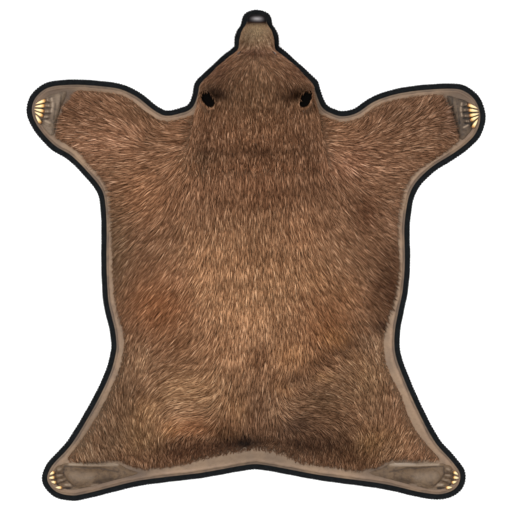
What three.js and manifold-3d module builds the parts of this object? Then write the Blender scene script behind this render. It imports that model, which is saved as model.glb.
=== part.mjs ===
// Bearskin rug: a spread brown pelt on a felt backing, with a mounted head, clawed forepaws
// and hind feet whose soles are turned up.
// Millimetres, +Z up, +Y towards the nose, the rug lying flat on z = 0.

import * as THREE from 'three';
import { mergeVertices } from 'three/addons/utils/BufferGeometryUtils.js';
import Module from 'manifold-3d';

const wasm = await Module();
wasm.setup();

// Driving dimensions
const GAP = 0.3;
const FELT = { thick: 3, border: 22 };
const HIDE = { thick: 2.5, tuck: 5 };
const HEM = { width: 16, ridge: 7, height: 7, flat: 0.1 };
const COAT = { rim: 8, body: 30, slope: 75, grid: 45, top: 90 };
const LOCK = { pitch: 31, reach: 15, lean: 9 };
const LUMP = { height: 2.6, length: 150 };
const HEAD = { x: 3, around: 16, jaw: 0.9 };
const NOSE = { y: 1011, z: 80, wide: 41, deep: 20, high: 27 };
const EYE = { out: 78, y: 861, z: 119, radius: 12 };
const EAR = { out: 203, y: 662, z: 152, wide: 37, deep: 23, high: 44, wall: 6, open: 12 };
const PAW = { height: 13, toe: 18, knuckle: 16, dy: -19, mirror: 3 };
const FOOT = { height: 7, mirror: -9 };
const ROUNDING = 4;
const CLAW = { sides: 5, steps: 3, root: 5, base: 9, bend: 19, end: 7, point: 0.9 };

const HIDE_BOTTOM = FELT.thick + GAP;
const HIDE_TOP = HIDE_BOTTOM + HIDE.thick;
const ON_HIDE = HIDE_TOP + GAP;

// The hide's edge, from the neck round the left arm, flank and foot, the tail, and up the right side.
// bare is the width of skin that shows between the edge and the fur.
const BODY_EDGE = [
  { x: -255, y: 640, bare: 18 },
  { x: -327, y: 608, bare: 27 },
  { x: -391, y: 598, bare: 28 },
  { x: -443, y: 624, bare: 28 },
  { x: -507, y: 675, bare: 25 },
  { x: -585, y: 712, bare: 20 },
  { x: -679, y: 725, bare: 19 },
  { x: -800, y: 731, bare: 19 },
  { x: -903, y: 715, bare: 19 },
  { x: -955, y: 666, bare: 19 },
  { x: -965, y: 613, bare: 19 },
  { x: -942, y: 555, bare: 20 },
  { x: -869, y: 471, bare: 26 },
  { x: -796, y: 426, bare: 34 },
  { x: -718, y: 348, bare: 35 },
  { x: -662, y: 273, bare: 32 },
  { x: -646, y: 183, bare: 28 },
  { x: -644, y: -45, bare: 27 },
  { x: -634, y: -213, bare: 29 },
  { x: -607, y: -329, bare: 33 },
  { x: -602, y: -411, bare: 30 },
  { x: -632, y: -522, bare: 28 },
  { x: -705, y: -669, bare: 30 },
  { x: -800, y: -823, bare: 28 },
  { x: -884, y: -918, bare: 22 },
  { x: -899, y: -970, bare: 20 },
  { x: -864, y: -1019, bare: 22 },
  { x: -791, y: -1038, bare: 24 },
  { x: -692, y: -1019, bare: 24 },
  { x: -499, y: -973, bare: 30 },
  { x: -241, y: -941, bare: 52 },
  { x: -86, y: -914, bare: 66 },
  { x: 0, y: -903, bare: 68 },
  { x: 86, y: -916, bare: 62 },
  { x: 275, y: -950, bare: 42 },
  { x: 555, y: -989, bare: 26 },
  { x: 705, y: -1023, bare: 24 },
  { x: 804, y: -1031, bare: 22 },
  { x: 864, y: -1002, bare: 20 },
  { x: 880, y: -948, bare: 20 },
  { x: 847, y: -894, bare: 24 },
  { x: 774, y: -811, bare: 34 },
  { x: 705, y: -686, bare: 46 },
  { x: 636, y: -531, bare: 48 },
  { x: 599, y: -419, bare: 46 },
  { x: 600, y: -316, bare: 42 },
  { x: 630, y: -166, bare: 32 },
  { x: 641, y: -45, bare: 24 },
  { x: 641, y: 140, bare: 33 },
  { x: 669, y: 277, bare: 34 },
  { x: 740, y: 363, bare: 30 },
  { x: 882, y: 458, bare: 26 },
  { x: 946, y: 522, bare: 20 },
  { x: 966, y: 596, bare: 19 },
  { x: 942, y: 666, bare: 19 },
  { x: 886, y: 708, bare: 19 },
  { x: 791, y: 713, bare: 19 },
  { x: 619, y: 694, bare: 20 },
  { x: 512, y: 660, bare: 22 },
  { x: 426, y: 606, bare: 27 },
  { x: 361, y: 596, bare: 27 },
  { x: 305, y: 619, bare: 24 },
  { x: 263, y: 647, bare: 18 },
];

// Cross-sections of the mounted head and neck, nose to nape. low is the height of the widest point
// and power is 2 for a round top, more for a squarer one.
const HEAD_SECTIONS = [
  { y: 1011, wide: 30, high: 84, low: 46, power: 2.4 },
  { y: 1001, wide: 42, high: 100, low: 50, power: 2.6 },
  { y: 980, wide: 48, high: 110, low: 52, power: 2.6 },
  { y: 957, wide: 64, high: 118, low: 52, power: 2.5 },
  { y: 931, wide: 73, high: 126, low: 50, power: 2.5 },
  { y: 890, wide: 75, high: 140, low: 46, power: 2.3 },
  { y: 872, wide: 90, high: 154, low: 42, power: 2.2 },
  { y: 853, wide: 116, high: 174, low: 38, power: 2.1 },
  { y: 819, wide: 152, high: 201, low: 34, power: 2 },
  { y: 787, wide: 186, high: 218, low: 32, power: 2 },
  { y: 759, wide: 218, high: 228, low: 30, power: 2 },
  { y: 733, wide: 244, high: 231, low: 30, power: 2 },
  { y: 699, wide: 253, high: 227, low: 30, power: 2 },
  { y: 647, wide: 258, high: 206, low: 32, power: 2 },
  { y: 587, wide: 265, high: 162, low: 36, power: 2 },
  { y: 518, wide: 277, high: 112, low: 37, power: 2 },
  { y: 449, wide: 291, high: 70, low: 36, power: 2 },
  { y: 385, wide: 305, high: 44, low: 34, power: 2 },
];

// Broad forms under the fur: a ridge or hollow of the given height, long and wide, turned from +X.
const RELIEF = [
  { name: 'spine', x: 5, y: 20, long: 420, wide: 70, turn: 90, height: 7 },
  { name: 'shoulder_left', x: -300, y: 330, long: 200, wide: 110, turn: 140, height: 7 },
  { name: 'shoulder_right', x: 310, y: 330, long: 200, wide: 110, turn: 40, height: 7 },
  { name: 'haunch_left', x: -270, y: -590, long: 230, wide: 150, turn: 60, height: 12 },
  { name: 'haunch_right', x: 260, y: -620, long: 230, wide: 150, turn: 120, height: 12 },
  { name: 'crease_right', x: 300, y: -440, long: 220, wide: 45, turn: 40, height: -12 },
  { name: 'crease_left', x: -400, y: -520, long: 170, wide: 45, turn: 150, height: -7 },
  { name: 'tail_hollow', x: -40, y: -800, long: 60, wide: 35, turn: 10, height: -12 },
];

// Left forepaw: the leather's outer edge, and the line where the fur of the arm begins.
const PAW_LEATHER = [
  { x: -817, y: 704 },
  { x: -856, y: 694 },
  { x: -890, y: 685 },
  { x: -914, y: 669 },
  { x: -924, y: 639 },
  { x: -926, y: 613 },
  { x: -929, y: 587 },
  { x: -927, y: 562 },
  { x: -905, y: 535 },
  { x: -884, y: 512 },
];
const PAW_FUR = [
  { x: -783, y: 742 },
  { x: -793, y: 706 },
  { x: -817, y: 677 },
  { x: -839, y: 627 },
  { x: -855, y: 574 },
  { x: -866, y: 520 },
  { x: -884, y: 466 },
];
const PAW_BEYOND = [
  { x: -1000, y: 466 },
  { x: -1000, y: 742 },
];
const PAW_TOES = [
  { x: -889, y: 661, long: 21, wide: 10, turn: 158 },
  { x: -892, y: 638, long: 21, wide: 10, turn: 172 },
  { x: -894, y: 614, long: 21, wide: 10, turn: 192 },
  { x: -897, y: 591, long: 21, wide: 10, turn: 202 },
  { x: -897, y: 560, long: 24, wide: 12, turn: 150 },
];
const PAW_KNUCKLE = { x: -866, y: 640, long: 40, wide: 12, turn: 98 };
const PAW_CLAWS = [
  { x: -909, y: 662, tip_x: -947, tip_y: 648, radius: 6 },
  { x: -912, y: 640, tip_x: -951, tip_y: 636, radius: 6 },
  { x: -915, y: 617, tip_x: -953, tip_y: 625, radius: 6 },
  { x: -920, y: 597, tip_x: -952, tip_y: 614, radius: 6 },
  { x: -928, y: 568, tip_x: -948, tip_y: 600, radius: 6 },
];

// Left hind foot: its leather, sole pad, the rolled band above the pad, toes and claws.
const FOOT_LEATHER = [
  { x: -826, y: -899 },
  { x: -851, y: -914 },
  { x: -869, y: -937 },
  { x: -873, y: -965 },
  { x: -860, y: -991 },
  { x: -830, y: -1008 },
  { x: -791, y: -1013 },
  { x: -740, y: -1006 },
  { x: -688, y: -993 },
  { x: -619, y: -976 },
  { x: -550, y: -957 },
  { x: -503, y: -940 },
  { x: -555, y: -922 },
  { x: -598, y: -897 },
  { x: -714, y: -897 },
];
const FOOT_FUR = [
  { x: -834, y: -838 },
  { x: -815, y: -888 },
  { x: -714, y: -889 },
  { x: -598, y: -887 },
  { x: -550, y: -912 },
  { x: -495, y: -931 },
  { x: -473, y: -980 },
];
const FOOT_BEYOND = [
  { x: -473, y: -1060 },
  { x: -1000, y: -1060 },
  { x: -1000, y: -838 },
];
const FOOT_FORMS = [
  { name: 'pad', x: -712, y: -953, long: 116, wide: 31, turn: 181, height: 19 },
  { name: 'ball', x: -768, y: -960, long: 50, wide: 40, turn: 170, height: 21 },
  { name: 'band', x: -704, y: -906, long: 112, wide: 10, turn: 178, height: 14 },
  { name: 'toe_1', x: -847, y: -922, long: 20, wide: 15, turn: 215, height: 18 },
  { name: 'toe_2', x: -843, y: -949, long: 20, wide: 10, turn: 188, height: 19 },
  { name: 'toe_3', x: -838, y: -970, long: 20, wide: 10, turn: 170, height: 19 },
  { name: 'toe_4', x: -820, y: -990, long: 20, wide: 10, turn: 165, height: 18 },
  { name: 'toe_5', x: -784, y: -1003, long: 22, wide: 7, turn: 175, height: 12 },
];
const FOOT_CLAWS = [
  { x: -861, y: -931, tip_x: -885, tip_y: -947, radius: 6 },
  { x: -861, y: -958, tip_x: -890, tip_y: -963, radius: 6 },
  { x: -856, y: -981, tip_x: -882, tip_y: -977, radius: 6 },
  { x: -836, y: -1001, tip_x: -863, tip_y: -1001, radius: 6 },
];

const MATERIALS = {
  felt: new THREE.MeshStandardMaterial({ color: 0x1b1d1f, roughness: 0.95, metalness: 0 }),
  skin: new THREE.MeshStandardMaterial({ color: 0xa48c76, roughness: 0.7, metalness: 0 }),
  fur: new THREE.MeshStandardMaterial({ color: 0x8a6748, roughness: 0.9, metalness: 0 }),
  leather: new THREE.MeshStandardMaterial({ color: 0x73665a, roughness: 0.65, metalness: 0 }),
  horn: new THREE.MeshStandardMaterial({ color: 0xf0d49a, roughness: 0.4, metalness: 0 }),
  nose: new THREE.MeshStandardMaterial({ color: 0x151414, roughness: 0.35, metalness: 0 }),
  glass: new THREE.MeshStandardMaterial({ color: 0x1c100a, roughness: 0.1, metalness: 0 }),
};

// Small helpers for points, rings and solids

const radians = THREE.MathUtils.degToRad;

function toSegment(point, a, b) {
  const reach = new THREE.Vector2(b.x - a.x, b.y - a.y);
  const along = (point.x - a.x) * reach.x + (point.y - a.y) * reach.y;
  const t = THREE.MathUtils.clamp(along / reach.lengthSq(), 0, 1);
  return Math.hypot(point.x - a.x - t * reach.x, point.y - a.y - t * reach.y);
}

function toRing(point, ring) {
  return Math.min(...ring.map((p, i) => toSegment(point, p, ring[(i + 1) % ring.length])));
}

// Leaves out the points that a straight line between their neighbours replaces.
function thinned(ring, tolerance) {
  const kept = [ring[0]];
  let from = 0;
  for (let i = 1; i + 1 < ring.length; i++) {
    const between = ring.slice(from + 1, i + 1);
    if (between.some((p) => toSegment(p, ring[from], ring[i + 1]) > tolerance)) {
      kept.push(ring[i]);
      from = i;
    }
  }
  kept.push(ring[ring.length - 1]);
  return kept;
}

// A smooth closed ring through rows; z carries the bare width along it.
function smoothRing(rows, perRow, tolerance) {
  const points = rows.map((row) => new THREE.Vector3(row.x, row.y, row.bare ?? 0));
  const curve = new THREE.CatmullRomCurve3(points, true, 'centripetal');
  return thinned(curve.getPoints(rows.length * perRow).slice(0, -1), tolerance);
}

function outwardAt(ring, i) {
  const before = ring[(i + ring.length - 1) % ring.length];
  const after = ring[(i + 1) % ring.length];
  return new THREE.Vector3(after.y - before.y, before.x - after.x, 0).normalize();
}

function movedOut(ring, distance) {
  return ring.map((p, i) => p.clone().addScaledVector(outwardAt(ring, i), distance(p)));
}

// Moves a ring out or in and drops the points that fold back over it at tight corners.
function offsetRing(ring, distance) {
  const moved = movedOut(ring, distance);
  return moved.filter((p, i) => toRing(p, ring) > 0.93 * Math.abs(distance(ring[i])));
}

const fan = (loop) => loop.slice(2).map((_, i) => [0, i + 1, i + 2]);

function sheetFaces(loop) {
  const contour = loop.map((p) => new THREE.Vector2(p.x, p.y));
  const clockwise = THREE.ShapeUtils.isClockWise(contour);
  const faces = THREE.ShapeUtils.triangulateShape(clockwise ? contour.reverse() : contour, []);
  const last = loop.length - 1;
  return clockwise ? faces.map(([a, b, c]) => [last - a, last - c, last - b]) : faces;
}

// A closed body through loops of equally many points, each loop above or in front of the one before.
function skinned(loops, capFaces) {
  const count = loops[0].length;
  const index = [];
  for (let ring = 0; ring + 1 < loops.length; ring++) {
    for (let i = 0; i < count; i++) {
      const a = ring * count + i;
      const b = ring * count + (i + 1) % count;
      index.push(a, b, b + count, a, b + count, a + count);
    }
  }
  const start = (loops.length - 1) * count;
  capFaces(loops[0]).forEach(([a, b, c]) => index.push(a, c, b));
  capFaces(loops[loops.length - 1]).forEach(([a, b, c]) => index.push(start + a, start + b, start + c));
  const geometry = new THREE.BufferGeometry();
  const positions = loops.flat().flatMap((p) => [p.x, p.y, p.z]);
  geometry.setAttribute('position', new THREE.Float32BufferAttribute(positions, 3));
  geometry.setIndex(index);
  return geometry;
}

function toSolid(source) {
  const bare = source.clone();
  bare.deleteAttribute('normal');
  bare.deleteAttribute('uv');
  const merged = mergeVertices(bare, 1e-4);
  return new wasm.Manifold(new wasm.Mesh({
    numProp: 3,
    vertProperties: new Float32Array(merged.attributes.position.array),
    triVerts: new Uint32Array(merged.index.array),
  }));
}

function toGeometry(solid) {
  const mesh = solid.getMesh();
  const geometry = new THREE.BufferGeometry();
  geometry.setAttribute('position', new THREE.BufferAttribute(mesh.vertProperties, 3));
  geometry.setIndex(new THREE.BufferAttribute(mesh.triVerts, 1));
  return geometry;
}

function prism(ring, bottom, top) {
  const shape = new THREE.Shape(ring.map((p) => new THREE.Vector2(p.x, p.y)));
  const geometry = new THREE.ExtrudeGeometry(shape, { depth: top - bottom, bevelEnabled: false });
  return geometry.translate(0, 0, bottom);
}

// A low rounded form on the hide, over an oval that is turned from +X.
function mound({ x, y, long, wide, turn, height }, side) {
  const around = 10;
  const rise = [0, 0.6, 1];
  const spread = [1, 0.88, 0.45];
  const loops = rise.map((up, k) => Array.from({ length: around }, (_, i) => {
    const angle = (i / around) * 2 * Math.PI;
    const local = new THREE.Vector3(long * Math.cos(angle), wide * Math.sin(angle), 0);
    local.multiplyScalar(spread[k]).applyAxisAngle(new THREE.Vector3(0, 0, 1), radians(turn));
    return new THREE.Vector3(x + local.x, y + local.y, ON_HIDE + height * up);
  }));
  return toSolid(sided(skinned(loops, fan), side));
}

// Left-hand geometry as it is, or mirrored to the right-hand side with its faces turned back.
function sided(geometry, side) {
  if (!side.flip) return geometry;
  const mirrored = geometry.clone();
  mirrored.scale(-1, 1, 1);
  mirrored.translate(2 * side.mirror, side.dy, 0);
  const faces = Array.from(mirrored.index.array);
  for (let i = 0; i < faces.length; i += 3) [faces[i + 1], faces[i + 2]] = [faces[i + 2], faces[i + 1]];
  mirrored.setIndex(faces);
  return mirrored;
}

// The edge of the whole skin: the body's rows, then round the head from right to left.

function headEdge() {
  const sides = HEAD_SECTIONS.filter((row) => row.y < NOSE.y && row.y > BODY_EDGE[0].y);
  const right = sides.map((row) => ({ x: HEAD.x + row.wide, y: row.y, bare: 0 })).reverse();
  const left = sides.map((row) => ({ x: HEAD.x - row.wide, y: row.y, bare: 0 }));
  const muzzle = [
    { x: HEAD.x + 0.9 * NOSE.wide, y: NOSE.y + 0.45 * NOSE.deep, bare: 0 },
    { x: HEAD.x, y: NOSE.y + NOSE.deep, bare: 0 },
    { x: HEAD.x - 0.9 * NOSE.wide, y: NOSE.y + 0.45 * NOSE.deep, bare: 0 },
  ];
  return [...right, ...muzzle, ...left];
}

const edge = smoothRing([...BODY_EDGE, ...headEdge()], 4, 1.2);
const turned = (p) => THREE.MathUtils.smoothstep(p.z, 2, 16);

function makeFelt() {
  return prism(offsetRing(edge, () => FELT.border), 0, FELT.thick);
}

// The hide: one sheet with a rolled hem round the body, tucked flat under the head.
function makeHide() {
  const inset = (p, amount) => {
    const hemmed = turned(p);
    return -amount * Math.max(hemmed, HEM.flat) - HIDE.tuck * (1 - hemmed);
  };
  const profile = [
    { inset: 1.5, z: HIDE_BOTTOM, hem: 0 },
    { inset: 0, z: HIDE_BOTTOM + HIDE.thick / 2, hem: 0.3 },
    { inset: HEM.ridge * 0.45, z: HIDE_TOP, hem: 0.85 },
    { inset: HEM.ridge, z: HIDE_TOP, hem: 1 },
    { inset: HEM.width, z: HIDE_TOP, hem: 0 },
  ];
  const raise = HEM.height - HIDE.thick;
  const loops = profile.map((row) => {
    const moved = movedOut(edge, (p) => inset(p, row.inset));
    return moved.map((p, i) => new THREE.Vector3(p.x, p.y, row.z + row.hem * raise * turned(edge[i])));
  });
  return skinned(loops, sheetFaces);
}

// Locks of hair along an edge with the fur on its left: a tip and a hollow in turn.
function locked(path, closed) {
  const curve = new THREE.CatmullRomCurve3(path.map((p) => new THREE.Vector3(p.x, p.y, 0)), closed);
  const locks = Math.round(curve.getLength() / LOCK.pitch);
  const points = curve.getSpacedPoints(2 * locks);
  if (closed) points.pop();
  return points.map((p, i) => {
    if (i % 2 === 0) return p;
    const tangent = curve.getTangentAt(i / (2 * locks));
    const out = new THREE.Vector3(tangent.y, -tangent.x, 0);
    return p.clone().addScaledVector(out, -LOCK.reach).add(new THREE.Vector3(0, LOCK.lean, 0));
  });
}

function reliefAt(x, y) {
  return RELIEF.reduce((sum, form) => {
    const turn = radians(form.turn);
    const along = (x - form.x) * Math.cos(turn) + (y - form.y) * Math.sin(turn);
    const across = (y - form.y) * Math.cos(turn) - (x - form.x) * Math.sin(turn);
    return sum + form.height * Math.exp(-((along / form.long) ** 2) - (across / form.wide) ** 2);
  }, 0);
}

function lumpAt(x, y) {
  const wave = (a, b, phase) => Math.sin((a * x + b * y) * 2 * Math.PI / LUMP.length + phase);
  return LUMP.height * (wave(1, 0.35, 0.4) + wave(-0.4, 0.9, 1.7) * wave(0.7, 0.8, 2.9));
}

function furTop(x, y, rim) {
  const inFromRim = toRing({ x, y }, rim);
  const full = THREE.MathUtils.smoothstep(inFromRim, -COAT.slope * 0.3, COAT.slope);
  return ON_HIDE + COAT.rim + full * (COAT.body - COAT.rim + reliefAt(x, y) + lumpAt(x, y));
}

function heightBody(rim) {
  const box = new THREE.Box2().setFromPoints(rim).expandByScalar(COAT.grid);
  const columns = Math.ceil((box.max.x - box.min.x) / COAT.grid);
  const rows = Math.ceil((box.max.y - box.min.y) / COAT.grid);
  const plane = new THREE.PlaneGeometry(columns * COAT.grid, rows * COAT.grid, columns, rows);
  plane.translate((box.min.x + box.max.x) / 2, (box.min.y + box.max.y) / 2, 0);
  const place = plane.attributes.position;
  for (let i = 0; i < place.count; i++) place.setZ(i, furTop(place.getX(i), place.getY(i), rim));
  return closedBelow(plane, columns + 1, rows + 1, -COAT.top);
}

// Gives a grid surface a skirt and a flat base at the given height.
function closedBelow(plane, columns, rows, base) {
  const place = plane.attributes.position;
  const positions = Array.from(place.array);
  const index = Array.from(plane.index.array);
  const border = [];
  for (let c = 0; c < columns; c++) border.push(c);
  for (let r = 1; r < rows; r++) border.push(r * columns + columns - 1);
  for (let c = columns - 2; c >= 0; c--) border.push((rows - 1) * columns + c);
  for (let r = rows - 2; r > 0; r--) border.push(r * columns);
  const first = place.count;
  border.forEach((v) => positions.push(place.getX(v), place.getY(v), base));
  const centre = first + border.length;
  positions.push(0, 0, base);
  border.forEach((v, i) => {
    const next = (i + 1) % border.length;
    index.push(v, border[next], first + i);
    index.push(border[next], first + next, first + i);
    index.push(first + i, first + next, centre);
  });
  const geometry = new THREE.BufferGeometry();
  geometry.setAttribute('position', new THREE.Float32BufferAttribute(positions, 3));
  geometry.setIndex(index);
  return geometry;
}

function mirroredRows(rows, side) {
  return side.flip ? rows.map((p) => ({ x: 2 * side.mirror - p.x, y: p.y + side.dy })) : rows;
}

// The part of the skin past a fur line, where the leather of a paw or foot lies bare.
function barePatch(furLine, side, corners) {
  const line = locked(furLine, false);
  const patch = mirroredRows([...line, ...corners], side);
  return toSolid(prism(side.flip ? patch.reverse() : patch, 0, COAT.top));
}

function headFootprint() {
  const clear = 2 * GAP;
  const right = HEAD_SECTIONS.map((row) => ({ x: HEAD.x + row.wide + clear, y: row.y }));
  const left = HEAD_SECTIONS.map((row) => ({ x: HEAD.x - row.wide - clear, y: row.y }));
  for (const row of [right, left]) {
    row[0].y = NOSE.y + NOSE.deep;
    row[row.length - 1].y -= clear;
  }
  return toSolid(prism([...right.reverse(), ...left], 0, COAT.top));
}

function makeCoat() {
  const margin = offsetRing(edge, (p) => -Math.max(p.z, HEM.width + 2));
  const rim = locked(margin, true);
  let coat = toSolid(prism(rim, ON_HIDE, COAT.top)).intersect(toSolid(heightBody(rim)));
  coat = coat.subtract(headFootprint());
  for (const side of Object.values(PAW_SIDES)) {
    coat = coat.subtract(barePatch(PAW_FUR, side, PAW_BEYOND));
  }
  for (const side of Object.values(FOOT_SIDES)) {
    coat = coat.subtract(barePatch(FOOT_FUR, side, FOOT_BEYOND));
  }
  return toGeometry(coat);
}

// One section of the head: a flat jaw on the hide, then a rounded arch from side to side.
function headLoop(row, grow) {
  const wide = row.wide + grow;
  const arch = row.high - row.low + grow;
  const loop = [];
  for (let i = 0; i <= HEAD.around; i++) {
    const angle = (i / HEAD.around) * Math.PI;
    const x = Math.sign(Math.cos(angle)) * Math.abs(Math.cos(angle)) ** (2 / row.power);
    const z = Math.sin(angle) ** (2 / row.power);
    loop.push(new THREE.Vector3(HEAD.x + wide * x, row.y, row.low + arch * z));
  }
  const jaw = wide * HEAD.jaw;
  loop.push(new THREE.Vector3(HEAD.x - jaw, row.y, ON_HIDE));
  loop.push(new THREE.Vector3(HEAD.x + jaw, row.y, ON_HIDE));
  return loop;
}

function headBody(grow) {
  const loops = HEAD_SECTIONS.map((row) => headLoop(row, grow));
  return toSolid(skinned(loops, fan));
}

function ellipsoid(centre, sizes, turns) {
  const sphere = new THREE.SphereGeometry(1, 12, 8);
  const place = new THREE.Matrix4().compose(centre, turns, sizes);
  return toSolid(sphere.applyMatrix4(place));
}

function eyeBall(sign, clear) {
  const radius = EYE.radius + clear;
  const centre = new THREE.Vector3(HEAD.x + sign * EYE.out, EYE.y, EYE.z);
  return ellipsoid(centre, new THREE.Vector3(radius, radius, radius), new THREE.Quaternion());
}

// An ear's bowl opens up, forwards and a little inwards; deep is measured along that opening.
function earFrame(sign) {
  const opening = new THREE.Vector3(-0.3 * sign, 0.55, 0.78).normalize();
  const outward = new THREE.Vector3(sign, -0.2, 0.3);
  const tall = outward.addScaledVector(opening, -outward.dot(opening)).normalize();
  const across = new THREE.Vector3().crossVectors(opening, tall);
  const turns = new THREE.Quaternion();
  turns.setFromRotationMatrix(new THREE.Matrix4().makeBasis(across, opening, tall));
  return { opening, turns, centre: new THREE.Vector3(HEAD.x + sign * EAR.out, EAR.y, EAR.z) };
}

function earBowl(sign, clear) {
  const { centre, turns } = earFrame(sign);
  const sizes = new THREE.Vector3(EAR.wide + clear, EAR.deep + clear, EAR.high + clear);
  return ellipsoid(centre, sizes, turns);
}

function makeEar(sign) {
  const { opening, centre, turns } = earFrame(sign);
  const hollow = new THREE.Vector3(EAR.wide - EAR.wall, EAR.deep, EAR.high - EAR.wall);
  const inner = ellipsoid(centre.addScaledVector(opening, EAR.open), hollow, turns);
  return toGeometry(earBowl(sign, 0).subtract(inner));
}

function makeHead() {
  let head = headBody(0);
  for (const sign of [-1, 1]) {
    head = head.subtract(eyeBall(sign, 1.5 * GAP)).subtract(earBowl(sign, 2 * GAP));
  }
  return toGeometry(head);
}

function makeNose() {
  const centre = new THREE.Vector3(HEAD.x, NOSE.y, NOSE.z);
  const sizes = new THREE.Vector3(NOSE.wide, NOSE.deep, NOSE.high);
  const pad = ellipsoid(centre, sizes, new THREE.Quaternion());
  return toGeometry(pad.subtract(headBody(GAP * 1.5)).subtract(frontBlock()));
}

// Fills the space behind the face of the muzzle, so that the nose stops in front of it.
function frontBlock() {
  const depth = 3 * NOSE.deep;
  const face = HEAD_SECTIONS[0].y + GAP;
  const block = new THREE.BoxGeometry(2 * NOSE.wide + depth, depth, 4 * NOSE.high);
  return toSolid(block.translate(HEAD.x, face - depth / 2, NOSE.z));
}

// A claw: a tapering horn that rises out of its toe and bends down to its tip.
function clawBody(row, side, clear) {
  const base = new THREE.Vector3(row.x, row.y, ON_HIDE + CLAW.base);
  const tip = new THREE.Vector3(row.tip_x, row.tip_y, ON_HIDE + CLAW.end);
  const reach = tip.clone().sub(base).setZ(0).normalize();
  const bend = base.clone().lerp(tip, 0.5).setZ(ON_HIDE + CLAW.bend);
  const curve = new THREE.QuadraticBezierCurve3(base, bend, tip);
  const loops = [];
  for (let k = -1; k <= CLAW.steps; k++) {
    const t = Math.max(k, 0) / CLAW.steps;
    const centre = curve.getPoint(t);
    if (k < 0) centre.addScaledVector(reach, -CLAW.root - clear);
    const along = curve.getTangent(t);
    const across = new THREE.Vector3(-reach.y, reach.x, 0);
    const up = new THREE.Vector3().crossVectors(along, across).normalize();
    const radius = CLAW.point + (row.radius - CLAW.point) * (1 - t) ** 0.8 + clear;
    loops.push(Array.from({ length: CLAW.sides }, (_, i) => {
      const angle = (i / CLAW.sides) * 2 * Math.PI;
      const offset = across.clone().multiplyScalar(radius * Math.cos(angle));
      return centre.clone().add(offset).addScaledVector(up, radius * Math.sin(angle));
    }));
  }
  return sided(skinned(loops, fan), side);
}

function withoutClaws(body, claws, side) {
  return claws.reduce((rest, row) => rest.subtract(toSolid(clawBody(row, side, 1.5 * GAP))), body);
}

function makePaw(side) {
  const inner = PAW_FUR.slice(2, -1).map((p) => ({ x: p.x - 2, y: p.y })).reverse();
  const rows = mirroredRows([...PAW_LEATHER, ...inner], side);
  const outline = smoothRing(side.flip ? rows.reverse() : rows, 2, 1);
  let paw = toSolid(padded(outline, PAW.height));
  PAW_TOES.forEach((toe) => {
    paw = paw.add(mound({ ...toe, height: PAW.toe }, side));
  });
  paw = paw.add(mound({ ...PAW_KNUCKLE, height: PAW.knuckle }, side));
  return toGeometry(withoutClaws(paw, PAW_CLAWS, side));
}

// A slab over an outline whose top edge is rounded off.
function padded(outline, height) {
  const profile = [
    { inset: 0, up: 0 },
    { inset: 0.5, up: 0.4 },
    { inset: 0.4 * ROUNDING, up: 0.8 },
    { inset: ROUNDING, up: 1 },
  ];
  const loops = profile.map((row) => {
    return movedOut(outline, () => -row.inset).map((p) => p.setZ(ON_HIDE + height * row.up));
  });
  return skinned(loops, sheetFaces);
}

function makeFoot(side) {
  const rows = mirroredRows(FOOT_LEATHER, side);
  const outline = smoothRing(side.flip ? rows.reverse() : rows, 2, 1);
  let foot = toSolid(padded(outline, FOOT.height));
  FOOT_FORMS.forEach((form) => {
    foot = foot.add(mound(form, side));
  });
  return toGeometry(withoutClaws(foot, FOOT_CLAWS, side));
}

const PAW_SIDES = {
  left: { flip: false, mirror: PAW.mirror, dy: 0 },
  right: { flip: true, mirror: PAW.mirror, dy: PAW.dy },
};
const FOOT_SIDES = {
  left: { flip: false, mirror: FOOT.mirror, dy: 0 },
  right: { flip: true, mirror: FOOT.mirror, dy: 0 },
};

// The rug: the sheets and the coat, then the head and the four feet as groups of their own.

function piece(name, geometry, material) {
  const mesh = new THREE.Mesh(geometry, material);
  mesh.name = name;
  return mesh;
}

const rug = new THREE.Group();
rug.add(piece('felt_backing', makeFelt(), MATERIALS.felt));
rug.add(piece('hide', makeHide(), MATERIALS.skin));
rug.add(piece('fur_coat', makeCoat(), MATERIALS.fur));

const head = new THREE.Group();
head.add(piece('head', makeHead(), MATERIALS.fur));
head.add(piece('nose', makeNose(), MATERIALS.nose));
for (const [sideName, sign] of [['left', -1], ['right', 1]]) {
  head.add(piece(`ear_${sideName}`, makeEar(sign), MATERIALS.fur));
  head.add(piece(`eye_${sideName}`, toGeometry(eyeBall(sign, 0)), MATERIALS.glass));
}
rug.add(head);

for (const [sideName, side] of Object.entries(PAW_SIDES)) {
  const paw = new THREE.Group();
  paw.add(piece(`forepaw_${sideName}`, makePaw(side), MATERIALS.leather));
  PAW_CLAWS.forEach((row, i) => {
    paw.add(piece(`foreclaw_${sideName}_${i + 1}`, clawBody(row, side, 0), MATERIALS.horn));
  });
  rug.add(paw);
}

for (const [sideName, side] of Object.entries(FOOT_SIDES)) {
  const foot = new THREE.Group();
  foot.add(piece(`hind_foot_${sideName}`, makeFoot(side), MATERIALS.leather));
  FOOT_CLAWS.forEach((row, i) => {
    foot.add(piece(`hind_claw_${sideName}_${i + 1}`, clawBody(row, side, 0), MATERIALS.horn));
  });
  rug.add(foot);
}

// The middle of the felt's outline becomes the origin.
const spread = new THREE.Box3().setFromObject(rug);
const middle = spread.getCenter(new THREE.Vector3());
rug.position.set(-middle.x, -middle.y, 0);

export default rug;
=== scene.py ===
# %% [markdown]
# # A bearskin rug, seen from straight above
# A real bearskin rug is a tanned hide with its fur on, sewn down on a sheet of black felt. The head
# and the paws are mounted forms. We build each of those the way a maker would: felt, hide, fur,
# head, ears, nose, eyes, paws and claws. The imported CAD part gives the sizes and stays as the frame.

# %% Load the frame
import math

import bmesh
import bpy
import numpy as np
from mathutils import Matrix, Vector, noise
from mathutils.bvhtree import BVHTree
from mathutils.geometry import delaunay_2d_cdt
from mathutils.kdtree import KDTree


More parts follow.
